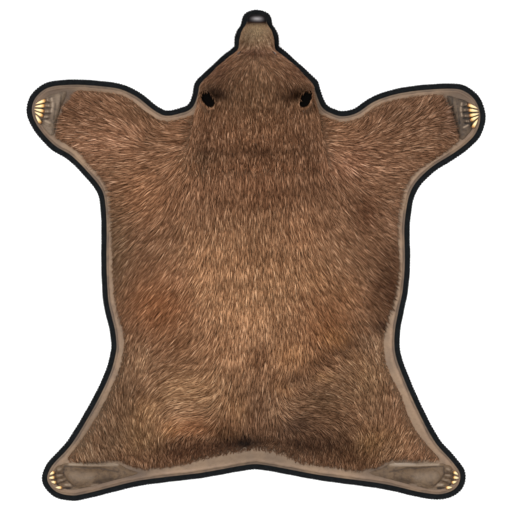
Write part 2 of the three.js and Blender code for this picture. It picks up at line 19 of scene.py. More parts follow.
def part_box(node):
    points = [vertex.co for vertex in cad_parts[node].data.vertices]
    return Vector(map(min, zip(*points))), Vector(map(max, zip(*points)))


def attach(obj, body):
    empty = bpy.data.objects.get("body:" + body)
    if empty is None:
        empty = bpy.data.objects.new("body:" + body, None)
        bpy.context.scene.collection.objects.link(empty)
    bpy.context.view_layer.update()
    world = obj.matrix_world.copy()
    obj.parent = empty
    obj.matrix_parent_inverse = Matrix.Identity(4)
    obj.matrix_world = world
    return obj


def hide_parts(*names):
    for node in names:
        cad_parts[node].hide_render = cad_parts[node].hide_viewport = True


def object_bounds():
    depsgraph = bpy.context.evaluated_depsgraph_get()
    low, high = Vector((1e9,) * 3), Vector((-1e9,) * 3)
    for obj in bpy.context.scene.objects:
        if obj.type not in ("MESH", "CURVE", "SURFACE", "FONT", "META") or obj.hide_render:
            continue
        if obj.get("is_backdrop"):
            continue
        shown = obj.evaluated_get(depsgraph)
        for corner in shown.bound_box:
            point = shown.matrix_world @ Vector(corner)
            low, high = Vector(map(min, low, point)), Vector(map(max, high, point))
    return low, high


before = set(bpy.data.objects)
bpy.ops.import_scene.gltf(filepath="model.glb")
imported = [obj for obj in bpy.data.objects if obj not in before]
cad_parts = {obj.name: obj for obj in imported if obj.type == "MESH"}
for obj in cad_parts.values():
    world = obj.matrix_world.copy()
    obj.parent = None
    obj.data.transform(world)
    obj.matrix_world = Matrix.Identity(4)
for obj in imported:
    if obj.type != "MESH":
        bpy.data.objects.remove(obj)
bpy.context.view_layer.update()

# %% [markdown]
# The drawing is in millimetres with its own zero, and the frame is in metres and centred. The two
# eyes are at known places in the drawing, so their boxes in the frame tell us how far apart the
# two zeros are. The picture is looked at straight down, and one of its pixels is 4.3 mm of rug.

# %% Places: drawing, frame and picture
MM = 0.001
HEAD_X = 3
EYE = {"out": 78, "y": 861, "z": 119, "radius": 12}
PIXEL = 4.3
PICTURE = np.array([256, 254.5])
ON_HIDE = 6.1


def middle(node):
    low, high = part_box(node)
    return (low + high) / 2


between_eyes = (middle("eye_left") + middle("eye_right")) / 2
ORIGIN = np.array([between_eyes.x - HEAD_X * MM, between_eyes.y - EYE["y"] * MM, 0])


def placed(points):
    """Points of the drawing, in millimetres, as places in the frame."""
    return np.asarray(points, float) * MM + ORIGIN


def drawn(points):
    """Places in the frame as points of the drawing."""
    return (np.asarray(points, float) - ORIGIN) / MM


def pictured(points):
    """Where points of the drawing are seen in the picture, in its pixels."""
    return PICTURE + points[:, :2] / PIXEL * [1, -1]


print("The drawing's zero in the frame, mm:", np.round(ORIGIN / MM, 2))

# %% [markdown]
# Every finish here is a small graph of shader nodes. This helper adds a node, sets its options and
# joins its sockets in one line, and it serves the Geometry Nodes trees as well.

# %% Helpers for node graphs and colours


class Graph:
    """Adds nodes to a tree and joins them."""

    def __init__(self, tree):
        self.tree = tree

    def add(self, kind, inputs=None, **settings):
        made = self.tree.nodes.new(kind)
        for name, value in settings.items():
            setattr(made, name, value)
        for key, value in (inputs or {}).items():
            if isinstance(value, bpy.types.NodeSocket):
                self.tree.links.new(value, made.inputs[key])
            else:
                made.inputs[key].default_value = value
        return made

    def math(self, operation, *values):
        return self.add("ShaderNodeMath", dict(enumerate(values)), operation=operation).outputs[0]

    def vector(self, operation, first, second):
        key = "Scale" if operation == "SCALE" else 1
        made = self.add("ShaderNodeVectorMath", {0: first, key: second}, operation=operation)
        return made.outputs["Value" if operation == "DOT_PRODUCT" else "Vector"]

    def spread(self, value, low, high, start=0.0, end=1.0):
        """Maps low to high onto start to end, and holds it there."""
        inputs = {"Value": value, "From Min": low, "From Max": high, "To Min": start, "To Max": end}
        return self.add("ShaderNodeMapRange", inputs).outputs["Result"]

    def attribute(self, name, output="Fac"):
        return self.add("ShaderNodeAttribute", attribute_name=name).outputs[output]

    def grain(self, scale, detail=3.0, roughness=0.6, stretch=(1, 1, 1)):
        """A noise pattern that lies in the object's own coordinates, in metres."""
        place = self.add("ShaderNodeTexCoord").outputs["Object"]
        place = self.vector("MULTIPLY", place, stretch)
        inputs = {"Vector": place, "Scale": scale, "Detail": detail, "Roughness": roughness}
        return self.add("ShaderNodeTexNoise", inputs).outputs["Fac"]

    def ramp(self, value, stops):
        made = self.add("ShaderNodeValToRGB", {"Fac": value})
        elements = made.color_ramp.elements
        while len(elements) < len(stops):
            elements.new(0.5)
        for element, (place, colour) in zip(elements, stops):
            element.position, element.color = place, colour
        return made.outputs["Color"]

    def mixed(self, share, first, second, blend="MIX"):
        made = self.add("ShaderNodeMix", data_type="RGBA", blend_type=blend)
        for key, value in ((0, share), (6, first), (7, second)):
            if isinstance(value, bpy.types.NodeSocket):
                self.tree.links.new(value, made.inputs[key])
            else:
                made.inputs[key].default_value = value
        return made.outputs[2]

    def bump(self, height, distance, strength=1.0, under=None):
        inputs = {"Height": height, "Distance": distance, "Strength": strength}
        if under is not None:
            inputs["Normal"] = under
        return self.add("ShaderNodeBump", inputs).outputs["Normal"]


def linear(code):
    """A colour written as on a paint card, in the light units that Blender uses."""
    parts = [int(code[i:i + 2], 16) / 255 for i in (1, 3, 5)]
    return tuple(c / 12.92 if c <= 0.04045 else ((c + 0.055) / 1.055) ** 2.4 for c in parts) + (1,)


def finish(name, colour, **uniform):
    """A new material: its graph and its shader, with the values that are even all over it."""
    material = bpy.data.materials.new(name)
    material.use_nodes = True
    shader = material.node_tree.nodes["Principled BSDF"]
    shader.inputs["Base Color"].default_value = linear(colour)
    for key, value in uniform.items():
        shader.inputs[key.replace("_", " ").title().replace("Ior", "IOR")].default_value = value
    return material, Graph(material.node_tree), shader


def join(graph, socket, shader, key):
    graph.tree.links.new(socket, shader.inputs[key])


# %% [markdown]
# Meshes come from plain lists of points and faces. A piece that lies flat also gets a map of its
# own, seen from above, so that its finish can be baked onto an image later.

# %% Helpers for meshes
scene = bpy.context.scene


def shown(name, data):
    """A new object in the scene, round its data: a mesh, a lamp or a camera."""
    made = bpy.data.objects.new(name, data)
    scene.collection.objects.link(made)
    return made


def new_piece(name, points, faces, material, smooth=True):
    mesh = bpy.data.meshes.new(name)
    mesh.from_pydata(np.asarray(points, float).tolist(), [], faces)
    mesh.materials.append(material)
    mesh.polygons.foreach_set("use_smooth", [smooth] * len(mesh.polygons))
    mesh.update()
    return shown(name, mesh)


def face_outwards(piece):
    form = bmesh.new()
    form.from_mesh(piece.data)
    bmesh.ops.recalc_face_normals(form, faces=form.faces)
    form.to_mesh(piece.data)
    form.free()


def put_points(mesh, points):
    mesh.vertices.foreach_set("co", np.asarray(points).astype(np.float32).ravel())


def threes(values, key):
    flat = np.empty(len(values) * 3, np.float32)
    values.foreach_get(key, flat)
    return flat.reshape(-1, 3).astype(float)


def points_of(mesh):
    return threes(mesh.vertices, "co")


def normals_of(mesh):
    return threes(mesh.vertex_normals, "vector")


def note(mesh, name, kind, values):
    """Keeps a value for each point of a mesh, such as its colour or the hair's length there."""
    made = mesh.attributes.new(name, kind, "POINT")
    key = {"FLOAT": "value", "FLOAT_VECTOR": "vector", "FLOAT_COLOR": "color"}[kind]
    made.data.foreach_set(key, np.ascontiguousarray(values, np.float32).ravel())


def map_from_above(mesh):
    corners = np.empty(len(mesh.loops), np.int32)
    mesh.loops.foreach_get("vertex_index", corners)
    flat = points_of(mesh)[:, :2]
    low, size = flat.min(0), np.ptp(flat, axis=0).max()
    layer = mesh.uv_layers.new(name="OFBake")
    layer.data.foreach_set("uv", ((flat - low) / size)[corners].astype(np.float32).ravel())


def settled(piece):
    """Turns a piece with live modifiers into a plain mesh."""
    seen = piece.evaluated_get(bpy.context.evaluated_depsgraph_get())
    mesh = bpy.data.meshes.new_from_object(seen)
    piece.modifiers.clear()
    piece.data = mesh
    return piece


def welded(node):
    """A copy of a CAD node's mesh with its loose triangles joined."""
    form = bmesh.new()
    form.from_mesh(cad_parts[node].data)
    bmesh.ops.remove_doubles(form, verts=form.verts, dist=0.00001)
    return form


def counted(piece):
    return sum(len(face.vertices) - 2 for face in piece.data.polygons)


def smoothstep(value, low, high):
    t = np.clip((value - low) / (high - low), 0, 1)
    return t * t * (3 - 2 * t)


PATCH_FADE = 0.9


def patched(spots, start, patches):
    """Lays soft oval patches over a starting value, one after the other. A patch is a row: x and y
    of its middle in the picture, its reach across and down, the value there, and the value's share."""
    value = np.tile(np.atleast_1d(np.array(start, float)), (len(spots), 1))
    for x, y, across, down, target, most in patches:
        off = (spots - (x, y)) / (across, down)
        share = most * np.exp(-np.sum(off ** 2, axis=1) * PATCH_FADE)[:, None]
        target = linear(target) if isinstance(target, str) else target
        value = value * (1 - share) + np.array(target) * share
    return value


# %% [markdown]
# ## The outline
# Felt, hide and fur all follow one outline. We walk once round the underside of the felt in the
# frame, then draw a smooth closed curve through its corners and step along it evenly. A profile
# swept round such a ring gives an edge, and triangles inside the ring give the flat of the sheet.

# %% Rings


def flat_area(ring):
    """The area inside a ring, in square metres. It is negative where the ring runs clockwise."""
    x, y = ring.T
    return 0.5 * float(np.sum(x * np.roll(y, -1) - y * np.roll(x, -1)))


def floor_ring(node):
    """The outline of a node's flat underside, in order, counter-clockwise."""
    form = welded(node)
    form.normal_update()
    follows = {}
    for edge in form.edges:
        under = [face for face in edge.link_faces if face.normal.z < -0.9]
        if len(under) == 1:
            for a, b in (edge.verts, reversed(edge.verts)):
                follows.setdefault(a, []).append(b)
    start = max(follows, key=lambda v: v.co.x)
    ring, before = [start], None
    while True:
        ahead = [v for v in follows[ring[-1]] if v is not before]
        before = ring[-1]
        if ahead[0] is start:
            break
        ring.append(ahead[0])
    ring = np.array([v.co[:2] for v in ring])
    form.free()
    return ring if flat_area(ring) > 0 else ring[::-1]


def even_steps(ring, step):
    closed = np.vstack([ring, ring[:1]])
    gone = np.concatenate([[0], np.cumsum(np.linalg.norm(np.diff(closed, axis=0), axis=1))])
    wanted = np.linspace(0, gone[-1], int(round(gone[-1] / step)), endpoint=False)
    return np.stack([np.interp(wanted, gone, closed[:, axis]) for axis in (0, 1)], axis=1)


def smooth_ring(ring, step, per=8):
    """A rounded closed curve through the ring's corners, in even steps."""
    p0, p1, p2, p3 = (np.roll(ring, -k, axis=0) for k in range(4))
    gap = [np.sqrt(np.linalg.norm(b - a, axis=1))[:, None] for a, b in ((p0, p1), (p1, p2), (p2, p3))]
    m1 = (p1 - p0) / gap[0] - (p2 - p0) / (gap[0] + gap[1]) + (p2 - p1) / gap[1]
    m2 = (p2 - p1) / gap[1] - (p3 - p1) / (gap[1] + gap[2]) + (p3 - p2) / gap[2]
    m1, m2 = m1 * gap[1], m2 * gap[1]
    rows = []
    for t in np.arange(per) / per:
        a, b = 2 * t ** 3 - 3 * t ** 2 + 1, t ** 3 - 2 * t ** 2 + t
        rows.append(a * p1 + b * m1 + (1 - a) * p2 + (t ** 3 - t ** 2) * m2)
    return even_steps(np.stack(rows, axis=1).reshape(-1, 2), step)


def tree_of(ring):
    """A search tree of flat points, for the distance from anywhere to the nearest of them."""
    tree = KDTree(len(ring))
    for i, (x, y) in enumerate(ring):
        tree.insert((x, y, 0), i)
    tree.balance()
    return tree


def away_from(tree, points):
    return np.array([tree.find((*point[:2], 0))[2] for point in points])


def outward(ring):
    along = np.roll(ring, -1, axis=0) - np.roll(ring, 1, axis=0)
    along /= np.linalg.norm(along, axis=1)[:, None]
    return np.stack([along[:, 1], -along[:, 0]], axis=1)


CLEAR = 0.96


def moved(ring, distance, step):
    """The ring moved out or in, without the points that fold over at tight corners."""
    fresh = ring + outward(ring) * distance
    return even_steps(fresh[away_from(tree_of(ring), fresh) > CLEAR * abs(distance)], step)


def relaxed(ring, times):
    for _ in range(times):
        ring = 0.5 * ring + 0.25 * (np.roll(ring, 1, axis=0) + np.roll(ring, -1, axis=0))
    return ring


def waves(count, step, rows):
    """An uneven ripple round a ring. A row is a wave: its length in metres, its height, its start."""
    total = count * step
    gone = np.arange(count) * step
    ripple = np.zeros(count)
    for length, height, start in rows:
        turns = max(round(total / length), 1)
        ripple += height * np.sin(2 * np.pi * turns * gone / total + start)
    return ripple


def skin_between(loops):
    """Faces between rings of equally many points, each ring inside or above the one before."""
    count = len(loops[0])
    faces = []
    for ring in range(len(loops) - 1):
        a = ring * count
        for i in range(count):
            j = (i + 1) % count
            faces.append((a + i, a + j, a + count + j, a + count + i))
    return faces


BARE_REACH = 100 * MM


def filled(ring, spacing=None):
    """Triangles inside a ring, with spare points on an even grid: the spare points, and the faces."""
    edge = [Vector(p) for p in ring]
    spare = []
    if spacing:
        low, high = ring.min(0), ring.max(0)
        grid = np.stack(np.meshgrid(*(np.arange(a, b, spacing) for a, b in zip(low, high))), axis=-1)
        grid = grid.reshape(-1, 2)
        away = away_from(tree_of(ring), grid)
        spare = [Vector(p) for p in grid[(spacing * 0.45 < away) & (away < BARE_REACH)]]
    count = len(ring)
    found = delaunay_2d_cdt(edge + spare, [], [list(range(count))], 1, 1e-7)
    points, faces, sources = found[0], found[2], found[3]
    place, extra = [], []
    for point, source in zip(points, sources):
        on_ring = [s for s in source if s < count]
        place.append(on_ring[0] if on_ring else count + len(extra))
        if not on_ring:
            extra.append(tuple(point))
    return np.array(extra).reshape(-1, 2), [tuple(place[i] for i in face) for face in faces]


def capped(loops, faces, spacing=None):
    """Closes a swept skin below its first ring and above its last one; the top gets spare points."""
    count = len(loops[0])
    low_faces = filled(loops[0][:, :2])[1]
    spare, high_faces = filled(loops[-1][:, :2], spacing)
    last = (len(loops) - 1) * count
    points = np.vstack(loops + [np.column_stack([spare, np.full(len(spare), loops[-1][0, 2])])])
    under = [face[::-1] for face in low_faces]
    over = [tuple(last + i for i in face) for face in high_faces]
    return points, faces + under + over, len(spare)


STEP = 3 * MM
felt_ring = smooth_ring(floor_ring("felt_backing"), STEP)
print("Felt outline:", len(felt_ring), "steps,", round(len(felt_ring) * STEP, 2), "m round")

# %% [markdown]
# ## Felt
# The backing is one sheet of 3 mm black felt. Its edge is pinked: cut with toothed shears so that
# it doesn't fray. A small sine of 12 mm teeth on the ring gives that edge. The surface is matted
# wool, which is a matter for bump: long soft fibres over fine fuzz.

# %% Felt backing
TOOTH = {"pitch": 12 * MM, "depth": 3 * MM, "out": 2.2 * MM, "uneven": 0.25}
TOOTH_WAVES = [(0.09, 1, 0.4), (0.031, 0.6, 2.1)]
FELT_ROWS = [{"inset": 0.5, "up": 0}, {"inset": 0, "up": 0.8}, {"inset": 0, "up": 2.2}, {"inset": 0.7, "up": 3}]
FELT_BORDER = 22 * MM

felt_black, graph, shader = finish("felt_black", "#1d1f20", roughness=0.96, specular_ior_level=0.12)
fuzz = graph.grain(420, 4, 0.7)
clumps = graph.grain(60, 3, 0.6)
colour = graph.mixed(graph.spread(clumps, 0.35, 0.7), linear("#0d0f10"), linear("#16181a"))
colour = graph.mixed(graph.spread(fuzz, 0.6, 0.8, 0, 0.35), colour, linear("#252829"))
join(graph, colour, shader, "Base Color")
join(graph, graph.bump(fuzz, 0.0012, 0.6), shader, "Normal")

count = len(felt_ring)
gone = np.arange(count) / count
teeth = round(count * STEP / TOOTH["pitch"])
bite = TOOTH["depth"] * (0.5 - 0.5 * np.cos(2 * np.pi * teeth * gone))
bite = bite * (1 + TOOTH["uneven"] * waves(count, STEP, TOOTH_WAVES)) - TOOTH["out"]
out = outward(felt_ring)
loops = []
for row in FELT_ROWS:
    ring = felt_ring - out * (bite + row["inset"] * MM)[:, None]
    loops.append(np.column_stack([ring, np.full(count, row["up"] * MM)]))
points, faces, spare = capped(loops, skin_between(loops))
felt = new_piece("felt", points, faces, felt_black, smooth=False)
map_from_above(felt.data)
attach(felt, "root")
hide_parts("felt_backing")
print("Felt with", teeth, "teeth and", counted(felt), "triangles")

# %% [markdown]
# ## Hide
# The tanned skin is thin and flat, and its edge is turned under and rolled, so a low ridge runs all
# round the body. Outside the ridge the skin slopes down. We sweep a profile round the outline, with
# the ridge a little lumpy and swaying, and fill the flat of the skin inside it. Under the head the
# skin has no ridge. Its colour follows the distance from the edge: painted shade on the outer slope,
# a thin dark line at the foot of the ridge, and a painted highlight on the ridge. Soft patches make
# it darker at the tail and worn round the paws.

# %% Hide
HIDE_BOTTOM = 3.3
RIDGE = 2.6
RIDGE_LUMPS = [(0.31, 0.1, 0.5), (0.127, 0.1, 2.0), (0.061, 0.09, 4.1), (0.023, 0.05, 1.3)]
RIDGE_SWAY = [(0.19, 0.9, 3.3), (0.083, 0.7, 0.2), (0.037, 0.35, 5.0)]
UNDER_HEAD = {"half": 200, "back": 690, "flat": 15, "rolled": 75, "thinner": 0.55}
FLAT = {"grid": 16 * MM, "wave": 28, "up": 0.25 * MM}
WEAR = {"rolled": 0.45, "from": 9, "to": 16}
hide_ring = relaxed(moved(felt_ring, -FELT_BORDER, STEP), 6)
count = len(hide_ring)
out = outward(hide_ring)

spot = drawn(np.column_stack([hide_ring, np.zeros(count)]))
aside = np.clip(abs(spot[:, 0] - HEAD_X) - UNDER_HEAD["half"], 0, None)
behind = np.clip(UNDER_HEAD["back"] - spot[:, 1], 0, None)
rolled = smoothstep(np.hypot(aside, behind), UNDER_HEAD["flat"], UNDER_HEAD["rolled"])
lumps, sway = waves(count, STEP, RIDGE_LUMPS), waves(count, STEP, RIDGE_SWAY)
HIDE_SHADES = [
    # tail
    (256, 458, 75, 16, 0.69, 1),
    # right leg
    (392, 380, 14, 40, 0.97, 1), (426, 432, 22, 30, 0.88, 1),
    # upper sides of the arms
    (90, 86, 50, 10, 0.74, 1), (415, 92, 50, 10, 0.92, 1),
    # left leg, then the left arm's underside
    (84, 416, 24, 36, 0.69, 1), (88, 162, 20, 16, 1.08, 1),
]
WORN_SPOTS = [
    # round the left paw
    (52, 92, 16, 9, 0.9, 1), (67, 96, 9, 11, 0.9, 1), (48, 118, 16, 24, 0.8, 1),
    # round the right paw
    (464, 116, 18, 30, 0.9, 1), (457, 97, 16, 9, 0.85, 1),
    # left foot
    (85, 480, 42, 14, 0.9, 1), (132, 474, 20, 7, 1, 1),
    # right foot
    (430, 480, 42, 14, 0.9, 1), (382, 472, 20, 7, 1, 1),
]
PROFILE = [
    {"inset": 1.4, "up": 0, "ridge": 0},
    {"inset": 0.4, "up": 0.8, "ridge": 0},
    {"inset": 0.3, "up": 1.6, "ridge": 0.05},
    {"inset": 1.6, "up": 2.3, "ridge": 0.1},
    {"inset": 5.0, "up": 2.5, "ridge": 0.22},
    {"inset": 8.0, "up": 2.5, "ridge": 0.42},
    {"inset": 10.0, "up": 2.5, "ridge": 0.8},
    {"inset": 12.0, "up": 2.5, "ridge": 1},
    {"inset": 14.5, "up": 2.5, "ridge": 0.95},
    {"inset": 16.5, "up": 2.5, "ridge": 0.62},
    {"inset": 18.5, "up": 2.5, "ridge": 0.25},
    {"inset": 21.0, "up": 2.5, "ridge": 0},
]
loops, insets = [], []
for row in PROFILE:
    inset = row["inset"] + sway * (row["ridge"] > 0.3) * rolled
    inset = inset * np.where(rolled > 0.02, 1, UNDER_HEAD["thinner"])
    up = row["up"] + row["ridge"] * RIDGE * rolled * (1 + lumps)
    loops.append(np.column_stack([hide_ring - out * (inset * MM)[:, None], (HIDE_BOTTOM + up) * MM]))
    insets.append(np.full(count, row["inset"]))
points, faces, spare = capped(loops, skin_between(loops), FLAT["grid"])
inner = points[len(points) - spare:]
for point in inner:
    point[2] += FLAT["up"] * noise.noise(Vector((point[0] * FLAT["wave"], point[1] * FLAT["wave"], 3)))
hide_tree = tree_of(hide_ring)
insets.append(away_from(hide_tree, inner) / MM)

tanned_hide, graph, shader = finish("tanned_hide", "#a08871", roughness=0.66, specular_ior_level=0.35)
from_edge = graph.attribute("from_edge")
# painted shade on the outer slope, a thin dark line at the foot of the ridge, and a painted highlight on the ridge
colour = graph.ramp(graph.spread(from_edge, 0, 30), [
    (0.00, linear("#4b3e33")), (0.10, linear("#655546")), (0.20, linear("#615042")), (0.27, linear("#4e3b2d")),
    (0.33, linear("#695443")), (0.42, linear("#866e59")), (0.58, linear("#997f69")), (0.75, linear("#907760")),
    (1.00, linear("#88705a")),
])
blotches = graph.grain(11, 4, 0.6)
streaks = graph.grain(70, 4, 0.65, stretch=(1, 1.6, 1))
colour = graph.mixed(graph.spread(blotches, 0.45, 0.68, 0, 0.55), colour, linear("#94795f"))
colour = graph.mixed(graph.spread(blotches, 0.5, 0.3, 0, 0.4), colour, linear("#625145"))
colour = graph.mixed(graph.spread(streaks, 0.5, 0.72, 0, 0.35), colour, linear("#6c5648"))
colour = graph.mixed(graph.attribute("worn"), colour, graph.mixed(blotches, linear("#4a3b31"), linear("#5e4d40")))
join(graph, graph.vector("SCALE", colour, graph.attribute("shade")), shader, "Base Color")
pores = graph.grain(900, 2, 0.5)
join(graph, graph.spread(streaks, 0.3, 0.7, 0.58, 0.76), shader, "Roughness")
wrinkled = graph.bump(streaks, 0.0022, 0.5)
join(graph, graph.bump(pores, 0.0006, 0.35, under=wrinkled), shader, "Normal")

hide = new_piece("skin", points, faces, tanned_hide)
note(hide.data, "from_edge", "FLOAT", np.concatenate(insets))
spots = pictured(drawn(points))
inside = smoothstep(np.concatenate(insets), WEAR["from"], WEAR["to"])
worn = patched(spots, 0, WORN_SPOTS)[:, 0] * (WEAR["rolled"] + (1 - WEAR["rolled"]) * inside)
note(hide.data, "worn", "FLOAT", worn)
note(hide.data, "shade", "FLOAT", patched(spots, 1, HIDE_SHADES)[:, 0])
map_from_above(hide.data)
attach(hide, "root")
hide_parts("hide")
print("Hide with", len(loops), "rows in its profile and", counted(hide), "triangles")

# %% [markdown]
# ## The lie of the hair
# Hair lies backwards from the snout over the neck and down the spine. From the shoulders it fans
# out into the arms, it slants off the flanks, and on the haunches it lies outwards before it turns
# down into the legs. A row of this table says which way the hair points at one place in the
# picture: 0 is right, 90 is up to the nose, 270 is down to the tail. Between the rows the
# directions blend.

# %% Combing table
COAT_LIE = [
    # left arm and shoulder: x, y, heading
    (60, 104, 150), (70, 107, 145), (63, 127, 212), (90, 100, 150), (110, 134, 163), (130, 113, 140),
    (149, 130, 118), (117, 150, 180), (90, 150, 190), (80, 122, 168), (130, 167, 178), (100, 168, 200),
    (117, 187, 194), (150, 185, 218), (124, 200, 200), (150, 207, 217), (170, 200, 235), (184, 194, 255),
    (204, 200, 268), (204, 165, 266), (184, 168, 240), (170, 151, 195), (177, 134, 165), (166, 120, 150),
    (190, 125, 175), (150, 165, 195), (186, 150, 215),
    # left flank
    (120, 234, 215), (144, 241, 225), (177, 241, 237), (204, 234, 260), (124, 267, 240), (157, 267, 230),
    (197, 267, 243), (224, 254, 270), (238, 274, 268), (120, 300, 240), (147, 307, 230), (167, 300, 230),
    (194, 307, 245), (228, 307, 262), (124, 334, 250), (160, 320, 235), (180, 340, 225), (194, 354, 218),
    # left haunch and leg
    (214, 347, 245), (134, 354, 262), (127, 380, 267), (154, 374, 235), (174, 367, 215), (187, 376, 195),
    (194, 387, 182), (200, 400, 178), (213, 392, 180), (174, 394, 215), (154, 398, 240), (212, 412, 176),
    (107, 394, 290), (94, 434, 288), (114, 434, 292), (133, 434, 296), (152, 421, 262), (174, 424, 225),
    (195, 424, 205), (205, 446, 262), (185, 452, 258), (160, 455, 275), (120, 415, 288),
    # spine and tail
    (256, 180, 270), (245, 210, 270), (256, 240, 270), (256, 300, 269), (256, 340, 268), (234, 347, 266),
    (222, 372, 256), (227, 388, 266), (228, 407, 275), (232, 418, 284), (243, 425, 292), (252, 390, 270),
    (258, 360, 268), (256, 420, 268), (240, 445, 262), (258, 448, 270), (262, 432, 258),
    # right arm and shoulder
    (452, 116, 20), (437, 107, 45), (417, 104, 48), (383, 110, 52), (390, 124, 38), (410, 134, 18),
    (437, 136, 335), (356, 131, 62), (336, 134, 20), (339, 152, 332), (336, 162, 315), (376, 150, 350),
    (417, 154, 355), (376, 167, 355), (363, 180, 338), (390, 190, 350), (347, 187, 305), (330, 180, 293),
    (310, 174, 278), (370, 207, 320), (390, 207, 330), (356, 221, 315), (383, 227, 322), (336, 227, 305),
    (310, 227, 288), (283, 200, 275), (400, 170, 350), (326, 126, 15), (330, 142, 345),
    # right flank
    (383, 254, 320), (350, 254, 313), (316, 261, 298), (283, 261, 278), (290, 307, 280), (317, 307, 300),
    (344, 307, 303), (370, 313, 312), (384, 293, 325), (324, 334, 300), (337, 340, 305), (304, 340, 272),
    # right haunch and leg
    (277, 354, 265), (297, 372, 242), (286, 378, 245), (272, 394, 256), (264, 412, 258), (364, 334, 285),
    (344, 360, 315), (330, 361, 330), (315, 374, 342), (310, 400, 358), (330, 394, 335), (350, 374, 305),
    (371, 374, 283), (377, 400, 265), (384, 427, 245), (411, 441, 243), (364, 414, 305), (344, 421, 320),
    (369, 441, 250), (304, 419, 350), (290, 396, 2), (288, 408, 0), (300, 388, 350), (300, 445, 268),
    (340, 442, 285), (320, 450, 270), (275, 438, 262),
]
HEAD_LIE = [
    (256, 22, 270), (256, 45, 270), (243, 47, 225), (270, 47, 315), (237, 52, 215), (276, 52, 325),
    (240, 40, 255), (272, 40, 285), (256, 80, 270), (232, 62, 246),
    (281, 62, 294), (215, 78, 236), (298, 78, 304), (208, 105, 258), (306, 105, 282), (199, 125, 262),
    (314, 125, 277), (256, 110, 270), (230, 100, 266), (284, 100, 274), (230, 135, 269), (284, 135, 271),
    (195, 145, 262), (320, 145, 280), (256, 160, 270), (215, 160, 268), (300, 160, 273),
]
BLEND = 11.5


def combed(spots, table):
    """The heading of the hair at each spot of the picture, as a flat arrow."""
    rows = np.array(table, float)
    arrows = np.stack([np.cos(np.radians(rows[:, 2])), np.sin(np.radians(rows[:, 2]))], axis=1)
    pull = -np.sum((spots[:, None, :] - rows[None, :, :2]) ** 2, axis=2) / (2 * BLEND ** 2)
    pull = np.exp(pull - pull.max(axis=1, keepdims=True))
    lie = pull @ arrows
    return lie / np.maximum(np.linalg.norm(lie, axis=1), 1e-6)[:, None]


print("Combing rows:", len(COAT_LIE), "on the coat and", len(HEAD_LIE), "on the head")
